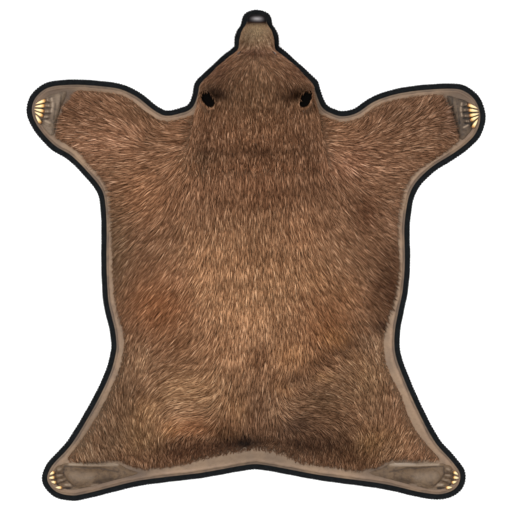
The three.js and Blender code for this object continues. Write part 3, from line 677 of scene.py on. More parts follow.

# %% [markdown]
# ## Colour, length and curl of the hair
# The coat isn't one brown. It is golden in the middle, rusty on one flank, darker with painted
# shade on the other, and nearly black above the tail. The hair is long on the back, short on the
# snout and at the rim, and wavy on the arms. Each table lists soft oval patches, one for each form
# seen, laid one over the other. Besides the coat's own colours, some patches paint shade into the
# creases and hollows and light onto the crests of the shoulder and the thighs. The numbers of a
# patch are where it is in the picture, how far it reaches across and down, the value it pulls the
# coat towards, and how strongly it pulls. The colours were first chosen and then corrected, after
# the mean colours of the picture and of a render had been measured and compared around about a
# hundred spots.

# %% Patches of the coat
PELT = "#7f5f47"
PELT_AND_PAINTED_LIGHT_PATCHES = [
    # crown, face and neck
    (256, 125, 70, 48, "#926b4e", 0.9), (256, 90, 45, 30, "#70543c", 0.8), (256, 185, 55, 26, "#6c4932", 0.7),
    # golden back
    (258, 280, 72, 66, "#9c7756", 0.9), (215, 245, 30, 26, "#a8805d", 0.5),
    # arms: dark upper sides, lighter undersides
    (85, 112, 30, 20, "#6f513c", 0.8), (412, 118, 34, 22, "#795b45", 0.8), (115, 143, 32, 16, "#9c755a", 0.75),
    (345, 160, 26, 16, "#956e55", 0.7), (385, 165, 24, 14, "#906d54", 0.6), (152, 190, 34, 26, "#9a7050", 0.6),
    (150, 118, 14, 12, "#583e28", 0.6),
    # left flank with its dark edge and its rust, then the right flank, darkened with painted shade
    (120, 245, 16, 56, "#6b553f", 0.8), (165, 300, 32, 30, "#8b5e3e", 0.9), (190, 335, 26, 16, "#704d33", 0.5),
    (384, 284, 22, 38, "#533826", 0.95), (360, 208, 12, 20, "#5c3c28", 0.75), (395, 215, 14, 26, "#95745b", 0.6),
    (322, 318, 26, 30, "#815839", 0.85),
    # light loin, dark line before the tail, and the two thighs
    (236, 345, 40, 30, "#a47d5c", 0.85), (254, 402, 22, 28, "#664a36", 0.7), (196, 388, 38, 26, "#967656", 0.85),
    (312, 398, 34, 24, "#6a513b", 0.85), (362, 372, 30, 34, "#84684c", 0.8), (122, 385, 22, 44, "#6a513b", 0.8),
    # painted shade in the crease of the right thigh
    (352, 337, 12, 4.5, "#533722", 0.6), (318, 357, 12, 5, "#5c3d25", 0.6),
    # rust and straw low on the haunches
    (196, 424, 30, 9, "#906342", 0.8), (142, 430, 28, 20, "#907150", 0.8), (376, 436, 26, 16, "#8a6843", 0.8),
    (105, 430, 18, 26, "#715b46", 0.6),
    # dark fur above the tail, with painted shade, nearly black, at its root
    (195, 448, 52, 15, "#4d311f", 0.9), (312, 441, 56, 17, "#382315", 0.9), (352, 452, 26, 10, "#553a25", 0.8),
    (246, 437, 17, 8, "#150d09", 0.95),
    # tufts of the shoulders, the back and the wrists
    (200, 158, 9, 9, "#553d2b", 0.5), (228, 300, 18, 20, "#b48b66", 0.45), (300, 225, 20, 20, "#a27857", 0.45),
    (292, 348, 18, 14, "#a07651", 0.45), (448, 116, 12, 16, "#634d40", 0.6), (65, 104, 4, 11, "#52392b", 0.7),
    (59, 124, 4, 12, "#52392b", 0.7),
    # shade of the nape and behind the ears
    (256, 147, 36, 9, "#563b28", 0.75), (206, 136, 14, 26, "#684a35", 0.7), (308, 142, 16, 26, "#674934", 0.7),
    (256, 193, 20, 7, "#65452e", 0.6), (310, 178, 18, 10, "#6a4c36", 0.6),
    # tufts of the arms, with painted shade before the left shoulder and in the right armpit,
    # and painted light on the left shoulder's crest
    (192, 162, 12, 8, "#b08663", 0.4), (161, 138, 9, 9, "#5b412d", 0.6), (138, 121, 10, 7, "#5b412d", 0.5),
    (342, 121, 10, 8, "#9b7557", 0.5), (386, 120, 14, 8, "#5f4532", 0.5), (418, 181, 9, 9, "#6a4d38", 0.6),
    (110, 182, 16, 10, "#80604a", 0.5),
    # single locks of the back, the loin and the thighs, with painted shade in the left hip crease
    # and the dip of the spine, and painted light on the tops of the thighs
    (204, 272, 10, 16, "#c59a73", 0.5), (262, 240, 20, 9, "#7f5c41", 0.35), (262, 346, 8, 14, "#6b4a33", 0.7),
    (200, 358, 12, 6, "#6f5038", 0.6), (118, 358, 7, 12, "#5b432f", 0.6), (101, 400, 6, 12, "#54402e", 0.6),
    (150, 402, 16, 11, "#a5815c", 0.6), (178, 420, 10, 8, "#ad7f55", 0.6), (360, 362, 10, 9, "#a17f5e", 0.6),
    (330, 420, 18, 7, "#5f4530", 0.5), (282, 380, 8, 9, "#a9805a", 0.5),
    # painted shade in the hollow at the root of the tail
    (230, 442, 15, 7, "#3a2417", 0.8), (244.5, 442, 7, 4.5, "#0c0705", 0.92),
    # the crease again, finer, in painted shade, with painted light on the thigh below it
    (380, 320, 11, 5, "#35231a", 0.85), (362, 331, 13, 3.6, "#392619", 0.65), (337, 347, 12, 3.4, "#392619", 0.5),
    (318, 359, 13, 3.2, "#483220", 0.5), (296, 372, 12, 4, "#5a402b", 0.5), (374, 344, 13, 11, "#94765b", 0.8),
    (350, 351, 12, 6, "#8c6b4e", 0.8), (380, 319, 8, 4, "#35231a", 0.5), (378, 334, 9, 7, "#a68669", 0.85),
    (350, 337, 10, 3.2, "#3a2517", 0.6), (335, 347, 9, 3.6, "#3a2517", 0.65), (319, 357, 9, 3.6, "#452d1b", 0.55),
    (301, 370, 9, 3.6, "#54392a", 0.5), (310, 290, 10, 8, "#7d583c", 0.4), (395, 215, 9, 12, "#95735a", 0.4),
    # rust above the crease
    (330, 330, 12, 8, "#9a7048", 0.6), (316, 373, 10, 5, "#8d6c49", 0.5),
    # painted light on the left thigh
    (146, 353, 14, 17, "#a58465", 0.75), (135, 332, 10, 12, "#86674d", 0.5), (205, 380, 16, 10, "#aa8664", 0.5),
    (186, 410, 14, 9, "#ab896a", 0.65),
    # painted shade in the hollows beside the tail, light locks above them
    (226, 426, 12, 8, "#4c3420", 0.8), (290, 421, 14, 8, "#493527", 0.85), (236, 400, 9, 12, "#a27c59", 0.75),
    (275, 400, 9, 12, "#9a7a5e", 0.75),
    # right leg and right flank
    (391, 441, 10, 9, "#907157", 0.5), (350, 402, 14, 9, "#8b6a4f", 0.5), (386, 250, 9, 14, "#5c412e", 0.6),
    # light locks of the back
    (250, 310, 16, 12, "#b98f69", 0.55), (312, 272, 16, 14, "#a67d59", 0.5), (342, 288, 12, 12, "#966c4a", 0.5),
    (180, 270, 12, 12, "#a57b5b", 0.45), (280, 260, 12, 10, "#a57e5c", 0.45), (240, 262, 12, 10, "#ad8461", 0.45),
    # undersides of the left arm and the left leg, and the loin
    (78, 157, 18, 8, "#684c39", 0.6), (84, 448, 14, 14, "#6e5a44", 0.6), (292, 346, 12, 10, "#b58a62", 0.5),
    (104, 178, 14, 9, "#6a4e3a", 0.5),
    # dark band over the shoulders
    (210, 178, 30, 6, "#6f5039", 0.4), (306, 178, 30, 6, "#6a4c36", 0.4),
]
HEAD_PATCHES = PELT_AND_PAINTED_LIGHT_PATCHES + [
    # snout: tan, with a painted highlight on top and painted shade behind the nose
    (256, 34, 22, 15, "#867158", 0.98), (256, 25, 12, 6, "#866f55", 0.8), (257, 29, 7, 6, "#a38d6c", 0.5),
    (248, 38, 7, 6, "#5f4f3b", 0.5), (256, 23, 18, 2.4, "#36261b", 0.85),
    # brow and cheeks
    (256, 52, 26, 7, "#593d2d", 0.8), (220, 72, 20, 16, "#583d2c", 0.85), (294, 72, 20, 16, "#604330", 0.85),
    # shade at the ears
    (217, 94, 14, 8, "#2a180c", 0.97), (292, 94, 16, 8, "#36200f", 0.97),
    # nape
    (204, 152, 14, 8, "#5a4330", 0.6), (256, 168, 66, 8, "#9a7052", 0.75),
]
COAT_LENGTH = 66
SHORT_AT_RIM = {"share": 0.2, "from": 3, "to": 48}
LENGTH_PATCHES = [
    (100, 130, 60, 34, 54, 1), (412, 130, 60, 34, 54, 1), (250, 447, 110, 16, 20, 1), (256, 120, 70, 40, 52, 1),
]
HEAD_LENGTH = 52
HEAD_LENGTH_PATCHES = [
    (256, 110, 44, 26, 44, 0.6), (211, 88, 15, 9, 9, 1), (304, 89, 15, 9, 9, 1), (256, 70, 60, 26, 26, 1),
    (256, 30, 60, 19, 8, 1), (256, 18, 60, 10, 7, 1), (241, 50, 6, 5, 29, 0.95), (273, 50, 6, 5, 29, 0.95),
]
COAT_CURL = 0.2
CURL_PATCHES = [
    (95, 130, 62, 34, 0.36, 1), (412, 132, 62, 34, 0.36, 1), (250, 444, 110, 16, 1.2, 1),
    (230, 360, 60, 30, 0.3, 0.7),
]


print("Patches:", len(PELT_AND_PAINTED_LIGHT_PATCHES), "of colour on the coat,", len(HEAD_PATCHES), "on the head")

# %% [markdown]
# ## Fur finish
# A lock of hair is dark at its root and light at its tip, and no two locks are equally light. The
# colour of the coat at the lock's root, the lock's own tone and the place along it are kept as
# values on the mesh, so this one finish serves every lock of the rug.

# %% Fur finish


def fur_finish(name, roots, tips):
    material, graph, shader = finish(name, PELT, roughness=0.6, specular_ior_level=0.14)
    tone, along = graph.attribute("tone"), graph.attribute("along")
    # the lightest tones turn paler and greyer: partly the lock's own random tone, partly a painted sheen
    light = graph.ramp(tone, [
        (0.0, (0.25, 0.20, 0.17, 1)), (0.3, (0.42, 0.37, 0.34, 1)), (0.6, (0.62, 0.59, 0.58, 1)),
        (0.85, (0.87, 0.89, 0.93, 1)), (1.0, (1.13, 1.23, 1.38, 1)),
    ])
    fade = graph.spread(along, 0, 0.85, roots, tips)
    colour = graph.vector("MULTIPLY", graph.attribute("pelt", "Color"), light)
    join(graph, graph.vector("SCALE", colour, fade), shader, "Base Color")
    return material


lock_fur = fur_finish("lock_fur", 1.75, 2.6)
print("Fur finish reads pelt, tone and along")

# %% [markdown]
# ## One lock of hair
# A lock is a thin three-sided blade that bends over towards the skin. It has only ten triangles,
# because it is repeated tens of thousands of times. Its points know how far along it they are.

# %% Lock of hair
LOCK_RINGS = [
    {"along": 0.0, "wide": 0.5, "sink": 0.0},
    {"along": 0.5, "wide": 1.0, "sink": 0.35},
]
LOCK_TIP_SINK = 1.7
BLADE = [(0.42, 0), (-0.22, 0.8), (-0.22, -0.8)]
points = [(x * row["wide"] - row["sink"], y * row["wide"], row["along"]) for row in LOCK_RINGS for x, y in BLADE]
points.append((-LOCK_TIP_SINK, 0, 1))
faces = [(2, 1, 0)]
faces += [(i, (i + 1) % 3, 3 + (i + 1) % 3, 3 + i) for i in range(3)]
faces += [(3 + i, 3 + (i + 1) % 3, 6) for i in range(3)]
lock = new_piece("one_lock", points, faces, lock_fur)
note(lock.data, "along", "FLOAT", [z for x, y, z in points])
print("One lock:", counted(lock), "triangles")

# %% [markdown]
# ## The tree that plants the locks
# This Geometry Nodes tree scatters points on a skin and turns one lock along the combed direction
# at each. A slow noise makes neighbours wander together, so the hair clumps and waves. Each lock
# gets its own length, width and tone, and neighbours in line along the hair are about equally light.

# %% Planting tree
DISTRIBUTE = "GeometryNodeDistributePointsOnFaces"


def tree_with(name, inputs):
    """A Geometry Nodes tree with a mesh going in and out and the named inputs."""
    tree = bpy.data.node_groups.new(name, "GeometryNodeTree")
    tree.interface.new_socket("Geometry", in_out="INPUT", socket_type="NodeSocketGeometry")
    tree.interface.new_socket("Geometry", in_out="OUTPUT", socket_type="NodeSocketGeometry")
    for label, kind in inputs.items():
        tree.interface.new_socket(label, in_out="INPUT", socket_type="NodeSocket" + kind)
    graph = Graph(tree)
    return graph, graph.add("NodeGroupInput").outputs


def named(graph, name, kind):
    return graph.add("GeometryNodeInputNamedAttribute", {"Name": name}, data_type=kind).outputs["Attribute"]


def stored(graph, geometry, name, value):
    inputs = {"Geometry": geometry, "Name": name, "Value": value}
    kept = graph.add("GeometryNodeStoreNamedAttribute", inputs, data_type="FLOAT", domain="POINT")
    return kept.outputs["Geometry"]


def by_chance(graph, span, seed):
    chance = graph.add("FunctionNodeRandomValue", {2: span[0], 3: span[1], 8: seed}, data_type="FLOAT")
    return chance.outputs[1]


STREAK = {"steps": 7, "step": 0.011, "scale": 150.0, "low": 0.42, "high": 0.58}
HABIT = {"hug": 0.92, "wander": 2.4, "rise": (0.55, 1.5), "long": (0.7, 1.25), "wide": (0.65, 1.35), "usual": 0.044}
TONE = {"patches": 0.3, "chance": 0.32, "streaks": 0.38}


def along_the_lie(graph, place):
    """Noise averaged along the lie of the hair, so that neighbours in line are equally light."""
    total = None
    for step in range(STREAK["steps"]):
        shift = (step - (STREAK["steps"] - 1) / 2) * STREAK["step"]
        at = graph.vector("ADD", place, graph.vector("SCALE", named(graph, "comb", "FLOAT_VECTOR"), shift))
        sample = graph.add("ShaderNodeTexNoise", {"Vector": at, "Scale": STREAK["scale"], "Detail": 0.0}).outputs[0]
        total = sample if total is None else graph.math("ADD", total, sample)
    return graph.spread(graph.math("DIVIDE", total, STREAK["steps"]), STREAK["low"], STREAK["high"])


def planting_tree():
    graph, given = tree_with("plant_the_locks", {
        "Lock": "Object", "Locks per Square Metre": "Float", "Width": "Float", "Lift": "Float",
        "Stray": "Float", "Seed": "Int", "Finish": "Material",
    })
    density = graph.math("MULTIPLY", given["Locks per Square Metre"], named(graph, "cover", "FLOAT"))
    inputs = {"Mesh": given["Geometry"], "Density": density, "Seed": given["Seed"]}
    scattered = graph.add(DISTRIBUTE, inputs, distribute_method="RANDOM")
    skin_normal = scattered.outputs["Normal"]

    place = graph.add("GeometryNodeInputPosition").outputs[0]
    broad = graph.add("ShaderNodeTexNoise", {"Vector": place, "Scale": 24.0, "Detail": 2.0})
    fine = graph.add("ShaderNodeTexNoise", {"Vector": place, "Scale": 75.0, "Detail": 1.0})
    wander = graph.vector("SUBTRACT", broad.outputs[1], (0.5, 0.5, 0.5))
    wander = graph.vector("ADD", wander, graph.vector("SUBTRACT", fine.outputs[1], (0.5, 0.5, 0.5)))
    curl = graph.math("MULTIPLY", named(graph, "curl", "FLOAT"), HABIT["wander"])
    wander = graph.vector("SCALE", wander, curl)
    stray = graph.add("FunctionNodeRandomValue", {0: (-1, -1, -0.3), 1: (1, 1, 0.6), 8: given["Seed"]},
                      data_type="FLOAT_VECTOR").outputs[0]
    stray = graph.vector("SCALE", stray, given["Stray"])
    lie = graph.vector("ADD", named(graph, "comb", "FLOAT_VECTOR"), graph.vector("ADD", wander, stray))
    into = graph.vector("DOT_PRODUCT", lie, skin_normal)
    into = graph.math("MULTIPLY", into, HABIT["hug"])
    flat = graph.vector("SUBTRACT", lie, graph.vector("SCALE", skin_normal, into))
    flat = graph.add("ShaderNodeVectorMath", {0: flat}, operation="NORMALIZE").outputs[0]
    rise = graph.math("MULTIPLY", given["Lift"], by_chance(graph, HABIT["rise"], 11))
    hair = graph.vector("ADD", flat, graph.vector("SCALE", skin_normal, rise))
    turn = graph.add("FunctionNodeAlignRotationToVector", {"Vector": hair}, axis="Z").outputs[0]
    turn = graph.add("FunctionNodeAlignRotationToVector", {"Rotation": turn, "Vector": skin_normal},
                     axis="X", pivot_axis="Z").outputs[0]

    length = named(graph, "length", "FLOAT")
    long = graph.math("MULTIPLY", length, by_chance(graph, HABIT["long"], 12))
    slim = graph.math("POWER", graph.math("DIVIDE", length, HABIT["usual"]), 0.5)
    slim = graph.math("MULTIPLY", slim, by_chance(graph, HABIT["wide"], 13))
    wide = graph.math("MULTIPLY", given["Width"], slim)
    size = graph.add("ShaderNodeCombineXYZ", {0: wide, 1: wide, 2: long}).outputs[0]
    patchy = graph.add("ShaderNodeTexNoise", {"Vector": place, "Scale": 55.0, "Detail": 2.0}).outputs[0]
    tone = graph.math("MULTIPLY", graph.spread(patchy, 0.34, 0.66), TONE["patches"])
    tone = graph.math("ADD", tone, graph.math("MULTIPLY", by_chance(graph, (0, 1), 14), TONE["chance"]))
    tone = graph.math("ADD", tone, graph.math("MULTIPLY", along_the_lie(graph, place), TONE["streaks"]))
    even = graph.spread(length, 0.006, 0.016, 0.45, 1.35)
    even = graph.math("MULTIPLY", even, graph.spread(length, 0.052, 0.064, 1.2, 0.94))
    tone = graph.math("ADD", graph.math("MULTIPLY", graph.math("SUBTRACT", tone, 0.5), even), 0.5)
    points = stored(graph, scattered.outputs["Points"], "tone", tone)
    lock_mesh = graph.add("GeometryNodeObjectInfo", {"Object": given["Lock"]}).outputs["Geometry"]
    inputs = {"Points": points, "Instance": lock_mesh, "Rotation": turn, "Scale": size}
    planted = graph.add("GeometryNodeInstanceOnPoints", inputs).outputs[0]
    real = graph.add("GeometryNodeRealizeInstances", {"Geometry": planted}).outputs[0]
    inputs = {"Geometry": real, "Material": given["Finish"]}
    dressed = graph.add("GeometryNodeSetMaterial", inputs).outputs[0]
    graph.add("NodeGroupOutput", {"Geometry": dressed})
    return graph.tree


def run_tree(piece, tree, values):
    """Puts a tree on a piece, sets its inputs by identifier, and makes the result a plain mesh."""
    made = piece.modifiers.new("tree", "NODES")
    made.node_group = tree
    for label, value in values.items():
        made[tree.interface.items_tree[label].identifier] = value
    piece.update_tag()
    bpy.context.view_layer.update()
    return settled(piece)


plant = planting_tree()
print("Planting tree has", len(plant.nodes), "nodes")

# %% [markdown]
# ## Undercoat
# Below the long locks a bear has dense short wool. It carries the big forms: the spine, the
# shoulders, the haunches and the creases between them. We take the frame's own lumpy slab, lower
# it by the depth of the locks, and round its facets with a Subdivision Surface modifier.

# %% Undercoat of the body
WOOL_SHARE = 0.7
WOOL_INSET = 2.5
RIM_REACH = 6
RIM_LEAST = -22
RIM_STEP = 6 * MM
RIDGE_ENDS = 19
SLAB_EDGE = {"near": 14, "spare": 4, "inside": -6}
RIM_PATCHES = [
    # flanks
    (110, 280, 14, 60, 9, 1), (402, 280, 14, 60, 3, 1),
    # upper sides of the arms, then their undersides
    (95, 90, 34, 9, -3, 1), (415, 95, 36, 9, -3, 1), (70, 147, 14, 10, 14, 1), (95, 163, 20, 16, 17, 1),
    (434, 160, 22, 14, 20, 1),
    # legs and the upper edge of the feet
    (80, 440, 14, 22, 11, 1), (100, 461, 36, 8, 12, 1), (130, 466, 14, 8, 6, 1), (388, 466, 16, 8, 14, 1),
    (400, 393, 10, 14, 17, 1), (415, 428, 9, 14, 1, 1),
    # tail
    (250, 450, 42, 8, 15, 1), (300, 458, 24, 8, 24, 1), (185, 463, 12, 7, 13, 1), (254, 448, 10, 6, 20, 1),
    # tips of fur beside the feet
    (150, 471, 10, 7, -6, 1), (360, 473, 10, 7, -8, 1),
    # wrists
    (60, 114, 8, 22, -2, 1), (67, 94, 8, 9, -22, 1), (452, 112, 8, 22, -1, 1),
]


def skin_material(name, share):
    """Wool or short hair below the locks: the coat's colour with its painted light and shade, darker by a share, in
    strands.
    """
    material, graph, shader = finish(name, PELT, roughness=0.8, specular_ior_level=0.15)
    strands = graph.grain(260, 3, 0.6, stretch=(1, 0.25, 1))
    light = graph.spread(strands, 0.35, 0.7, share * 0.55, share * 1.15)
    join(graph, graph.vector("SCALE", graph.attribute("pelt", "Color"), light), shader, "Base Color")
    join(graph, graph.bump(strands, 0.003, 0.8), shader, "Normal")
    return material


wool = skin_material("undercoat_wool", 0.62)


def rounded_copy(name, form, levels, material):
    """A new piece from an edited mesh, with its facets rounded where levels isn't zero."""
    mesh = bpy.data.meshes.new(name)
    form.to_mesh(mesh)
    form.free()
    mesh.materials.clear()
    mesh.materials.append(material)
    mesh.polygons.foreach_set("material_index", [0] * len(mesh.polygons))
    mesh.polygons.foreach_set("use_smooth", [True] * len(mesh.polygons))
    piece = shown(name, mesh)
    if levels:
        rounding = piece.modifiers.new("round", "SUBSURF")
        rounding.levels = rounding.render_levels = levels
        settled(piece)
    return piece


rim_line = relaxed(smooth_ring(floor_ring("fur_coat"), RIM_STEP), 22)
rim_out = outward(rim_line)
rim_tree = tree_of(rim_line)
strip = away_from(hide_tree, rim_line) / MM
seen_at = pictured(drawn(np.column_stack([rim_line, np.zeros(len(rim_line))])))
reach = patched(seen_at, RIM_REACH, RIM_PATCHES)[:, 0]
reach = relaxed(np.clip(reach, RIM_LEAST, np.clip(strip - RIDGE_ENDS, 0, None)), 8)
fur_end = rim_line + rim_out * (reach * MM)[:, None]
fur_tree = tree_of(fur_end)
slab = welded("fur_coat")
for vertex in slab.verts:
    vertex.co.z = ON_HIDE * MM + (vertex.co.z - ON_HIDE * MM) * WOOL_SHARE
    near, index, away = rim_tree.find((vertex.co.x, vertex.co.y, 0))
    wanted = reach[index] - WOOL_INSET
    if away < max(SLAB_EDGE["near"], SLAB_EDGE["spare"] - reach[index]) * MM:
        past = float((np.array(vertex.co[:2]) - rim_line[index]) @ rim_out[index])
        if past > min(SLAB_EDGE["inside"], wanted) * MM:
            push = wanted * MM - past
            vertex.co.x += rim_out[index][0] * push
            vertex.co.y += rim_out[index][1] * push
coat_skin = rounded_copy("coat_skin", slab.copy(), 2, wool)
undercoat = rounded_copy("undercoat", slab, 1, wool)


def dress_skin(piece, lie, patches, length, curl, cover, comb=None):
    """Keeps the lie, colour, length and curl of the hair on the points of a skin."""
    points = points_of(piece.data)
    spots = pictured(drawn(points))
    if comb is None:
        arrows = combed(spots, lie)
        down = -0.3 * (1 - np.clip(normals_of(piece.data)[:, 2], 0, 1))
        comb = np.column_stack([arrows, down])
    note(piece.data, "comb", "FLOAT_VECTOR", comb)
    pelt = patched(spots, linear(PELT), patches)
    note(piece.data, "pelt", "FLOAT_COLOR", pelt)
    note(piece.data, "length", "FLOAT", length(spots) * MM)
    note(piece.data, "curl", "FLOAT", curl(spots))
    note(piece.data, "cover", "FLOAT", cover(points, spots))


def coat_length(spots):
    length = patched(spots, COAT_LENGTH, LENGTH_PATCHES)[:, 0]
    full = smoothstep(coat_rim, SHORT_AT_RIM["from"], SHORT_AT_RIM["to"])
    return length * (SHORT_AT_RIM["share"] + (1 - SHORT_AT_RIM["share"]) * full)


def coat_cover(points, spots):
    return smoothstep(points[:, 2] / MM, ON_HIDE + 1, ON_HIDE + 4)


def coat_curl(spots):
    return patched(spots, COAT_CURL, CURL_PATCHES)[:, 0]


for skin in (coat_skin, undercoat):
    coat_rim = away_from(fur_tree, points_of(skin.data)) / MM
    dress_skin(skin, COAT_LIE, PELT_AND_PAINTED_LIGHT_PATCHES, coat_length, coat_curl, coat_cover)
map_from_above(undercoat.data)
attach(undercoat, "root")
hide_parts("fur_coat")
print("Undercoat:", counted(undercoat), "triangles; skin for planting:", counted(coat_skin))

# %% [markdown]
# ## Fur of the body
# One piece of fur with every lock in it would be too heavy to handle, so the coat is planted in
# six parts, as a furrier works: shoulders, flanks and haunches, left and right of the spine.

# %% Plant the coat
COAT_LOCKS = {"Locks per Square Metre": 25500.0, "Width": 2.35 * MM, "Lift": 0.2, "Stray": 0.13}
SEEDS = {"coat": 20, "rim": 27, "head": 31, "ears": 40}
HAIR_NOTES = ("comb", "length", "curl", "cover", "normal")
HAIR_FLOOR = (ON_HIDE + 0.3) * MM


def part_of(skin, name, inside):
    """The faces of a skin whose middle is in one part of the rug."""
    form = bmesh.new()
    form.from_mesh(skin.data)
    spare = [f for f in form.faces if not inside(*f.calc_center_median())]
    bmesh.ops.delete(form, geom=spare, context="FACES")
    return rounded_copy(name, form, 0, lock_fur)


def planted(skin, seed, values):
    """Plants a skin with locks, and holds every hair above the hide."""
    run_tree(skin, plant, {"Lock": lock, "Seed": seed, "Finish": lock_fur, **values})
    hair = points_of(skin.data)
    hair[:, 2] = np.maximum(hair[:, 2], HAIR_FLOOR)
    put_points(skin.data, hair)
    for spare in HAIR_NOTES:
        if spare in skin.data.attributes:
            skin.data.attributes.remove(skin.data.attributes[spare])
    map_from_above(skin.data)
    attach(skin, "root")
    print(skin.name, "has", len(hair) // len(lock.data.vertices), "locks,", counted(skin), "triangles")


FRONT, REAR = 0.23, -0.34
SPINE = 5 * MM
PARTS = [("shoulder", FRONT, math.inf), ("flank", REAR, FRONT), ("haunch", -math.inf, REAR)]
for row, (label, low, high) in enumerate(PARTS):
    for side, sign in (("left", -1), ("right", 1)):
        part = part_of(coat_skin, f"fur_{label}_{side}",
                       lambda x, y, z: low <= y < high and (x - SPINE) * sign >= 0)
        planted(part, SEEDS["coat"] + 2 * row + (sign > 0), COAT_LOCKS)
bpy.data.objects.remove(coat_skin)

# %% [markdown]
# ## Head
# The mounted head is a form in its own right. Cross-sections from nose to nape give its snout, brow,
# crown and the slope of the neck; we loft a skin through them. The brows, the eye sockets, the
# cheeks and the line of the closed mouth are soft swellings and dents in that skin. It lies a few
# millimetres inside the frame's head, which leaves room for the hair.

# %% Head form
HEAD_SECTIONS = np.array([
    # y, half width, top, height of the widest point, roundness
    (1011, 30, 84, 46, 2.4), (1001, 42, 100, 50, 2.6), (980, 48, 110, 52, 2.6), (957, 64, 118, 52, 2.5),
    (931, 73, 126, 50, 2.5), (890, 75, 140, 46, 2.3), (872, 90, 154, 42, 2.2), (853, 116, 174, 38, 2.1),
    (819, 152, 201, 34, 2), (787, 186, 218, 32, 2), (759, 218, 228, 30, 2), (733, 244, 231, 30, 2),
    (699, 253, 227, 30, 2), (647, 258, 206, 32, 2), (587, 265, 162, 36, 2), (518, 277, 112, 37, 2),
    (449, 291, 70, 36, 2), (385, 305, 44, 34, 2),
])[::-1]
JAW = 0.9
ARCH_STEPS = 52
FORMS = [
    {"name": "brow", "at": (62, 856, 150), "reach": (30, 20, 20), "out": 8},
    {"name": "socket", "at": (EYE["out"] + 3, EYE["y"] + 2, EYE["z"] + 5), "reach": (17, 19, 17), "out": -7},
    {"name": "bridge", "at": (0, 905, 150), "reach": (20, 60, 30), "out": 2},
    {"name": "stop", "at": (0, 845, 185), "reach": (22, 26, 30), "out": -5},
    {"name": "forehead_groove", "at": (0, 780, 215), "reach": (14, 60, 30), "out": -4},
    {"name": "cheek", "at": (150, 785, 85), "reach": (40, 50, 45), "out": 7},
    {"name": "lip_pad", "at": (52, 965, 70), "reach": (18, 34, 16), "out": 4},
    {"name": "mouth", "at": (60, 950, 50), "reach": (30, 62, 3.5), "out": -4},
    {"name": "chin", "at": (30, 990, 30), "reach": (30, 26, 16), "out": 3},
    {"name": "bed of the ear", "at": (190, 667, 150), "reach": (33, 32, 46), "out": -30},
]


def section_at(y):
    """The head's section at one place, softened over its neighbours."""
    near = np.clip(y + np.array([-9, -4, 0, 4, 9]), HEAD_SECTIONS[0, 0], HEAD_SECTIONS[-1, 0])
    return [np.interp(near, HEAD_SECTIONS[:, 0], HEAD_SECTIONS[:, k]).mean() for k in range(1, 5)]


def skin_depth(y):
    """How far the skin lies under the tips of the hair."""
    return 2.5 + 5.5 * smoothstep(y, 905, 850)


def head_loop(y):
    wide, top, low, power = section_at(y)
    angle = np.linspace(0, np.pi, ARCH_STEPS + 1)
    neck = smoothstep(y, 700, 560)
    depth = skin_depth(y) * (1 - 0.92 * neck * (1 - np.sin(angle).clip(0)))
    x = np.sign(np.cos(angle)) * abs(np.cos(angle)) ** (2 / power) * (wide - depth)
    z = low + np.sin(angle).clip(0) ** (2 / power) * (top - low - depth)
    down = np.array([0.25, 0.5, 0.75, 1.0])
    side_x = (wide - depth[0]) * (1 - (1 - JAW) * down ** 2)
    side_z = low + (ON_HIDE + 0.4 - low) * down
    x = np.concatenate([side_x[::-1], x, -side_x])
    z = np.concatenate([side_z[::-1], z, side_z])
    return np.column_stack([HEAD_X + x, np.full(len(x), float(y)), z])


head_rows = np.concatenate([np.arange(385, 1008, 7.0), [1011]])
loops = np.array([head_loop(y) for y in head_rows])
per_loop = loops.shape[1]
points = loops.reshape(-1, 3)
faces = [(a + i, a + (i + 1) % per_loop, a + per_loop + (i + 1) % per_loop, a + per_loop + i)
         for a in range(0, len(points) - per_loop, per_loop) for i in range(per_loop)]
faces = [face[::-1] for face in faces]
faces += [tuple(range(per_loop)), tuple(range(len(points) - per_loop, len(points)))[::-1]]
head_wool = skin_material("head_wool", 0.66)
head_skin = new_piece("head_form", placed(points), faces, head_wool)
normals = normals_of(head_skin.data)
for form in FORMS:
    for sign in ((-1, 1) if form["at"][0] else (1,)):
        at = np.array([HEAD_X + sign * form["at"][0], *form["at"][1:]])
        swell = form["out"] * np.exp(-np.sum(((points - at) / form["reach"]) ** 2, axis=1))
        points = points + normals * swell[:, None]
put_points(head_skin.data, placed(points))
head_skin.data.update()
print("Head form:", len(head_rows), "sections,", counted(head_skin), "triangles")

# %% [markdown]
# ## Fur of the head
# The same tree plants the head. The hair is short and dense on the snout and grows longer over the
# crown and down the neck. None grows on the nose, round the eyes or in the hollow of the ears.

# %% Plant the head
EAR = {"out": 211, "y": 664, "z": 150, "wide": 31, "deep": 23, "high": 43}
NAPE_RAGGED = 1.1
HEAD_LOCKS = {"Locks per Square Metre": 27500.0, "Width": 2.1 * MM, "Lift": 0.22, "Stray": 0.13}


def head_length(spots):
    length = patched(spots, HEAD_LENGTH, HEAD_LENGTH_PATCHES)[:, 0]
    ragged = np.array([noise.noise(Vector((x * 0.11, y * 0.03, 7))) for x, y in spots])
    return length * (1 + NAPE_RAGGED * ragged * smoothstep(spots[:, 1], 148, 166))


def head_curl(spots):
    return 0.14 + 0.16 * smoothstep(spots[:, 1], 40, 120)


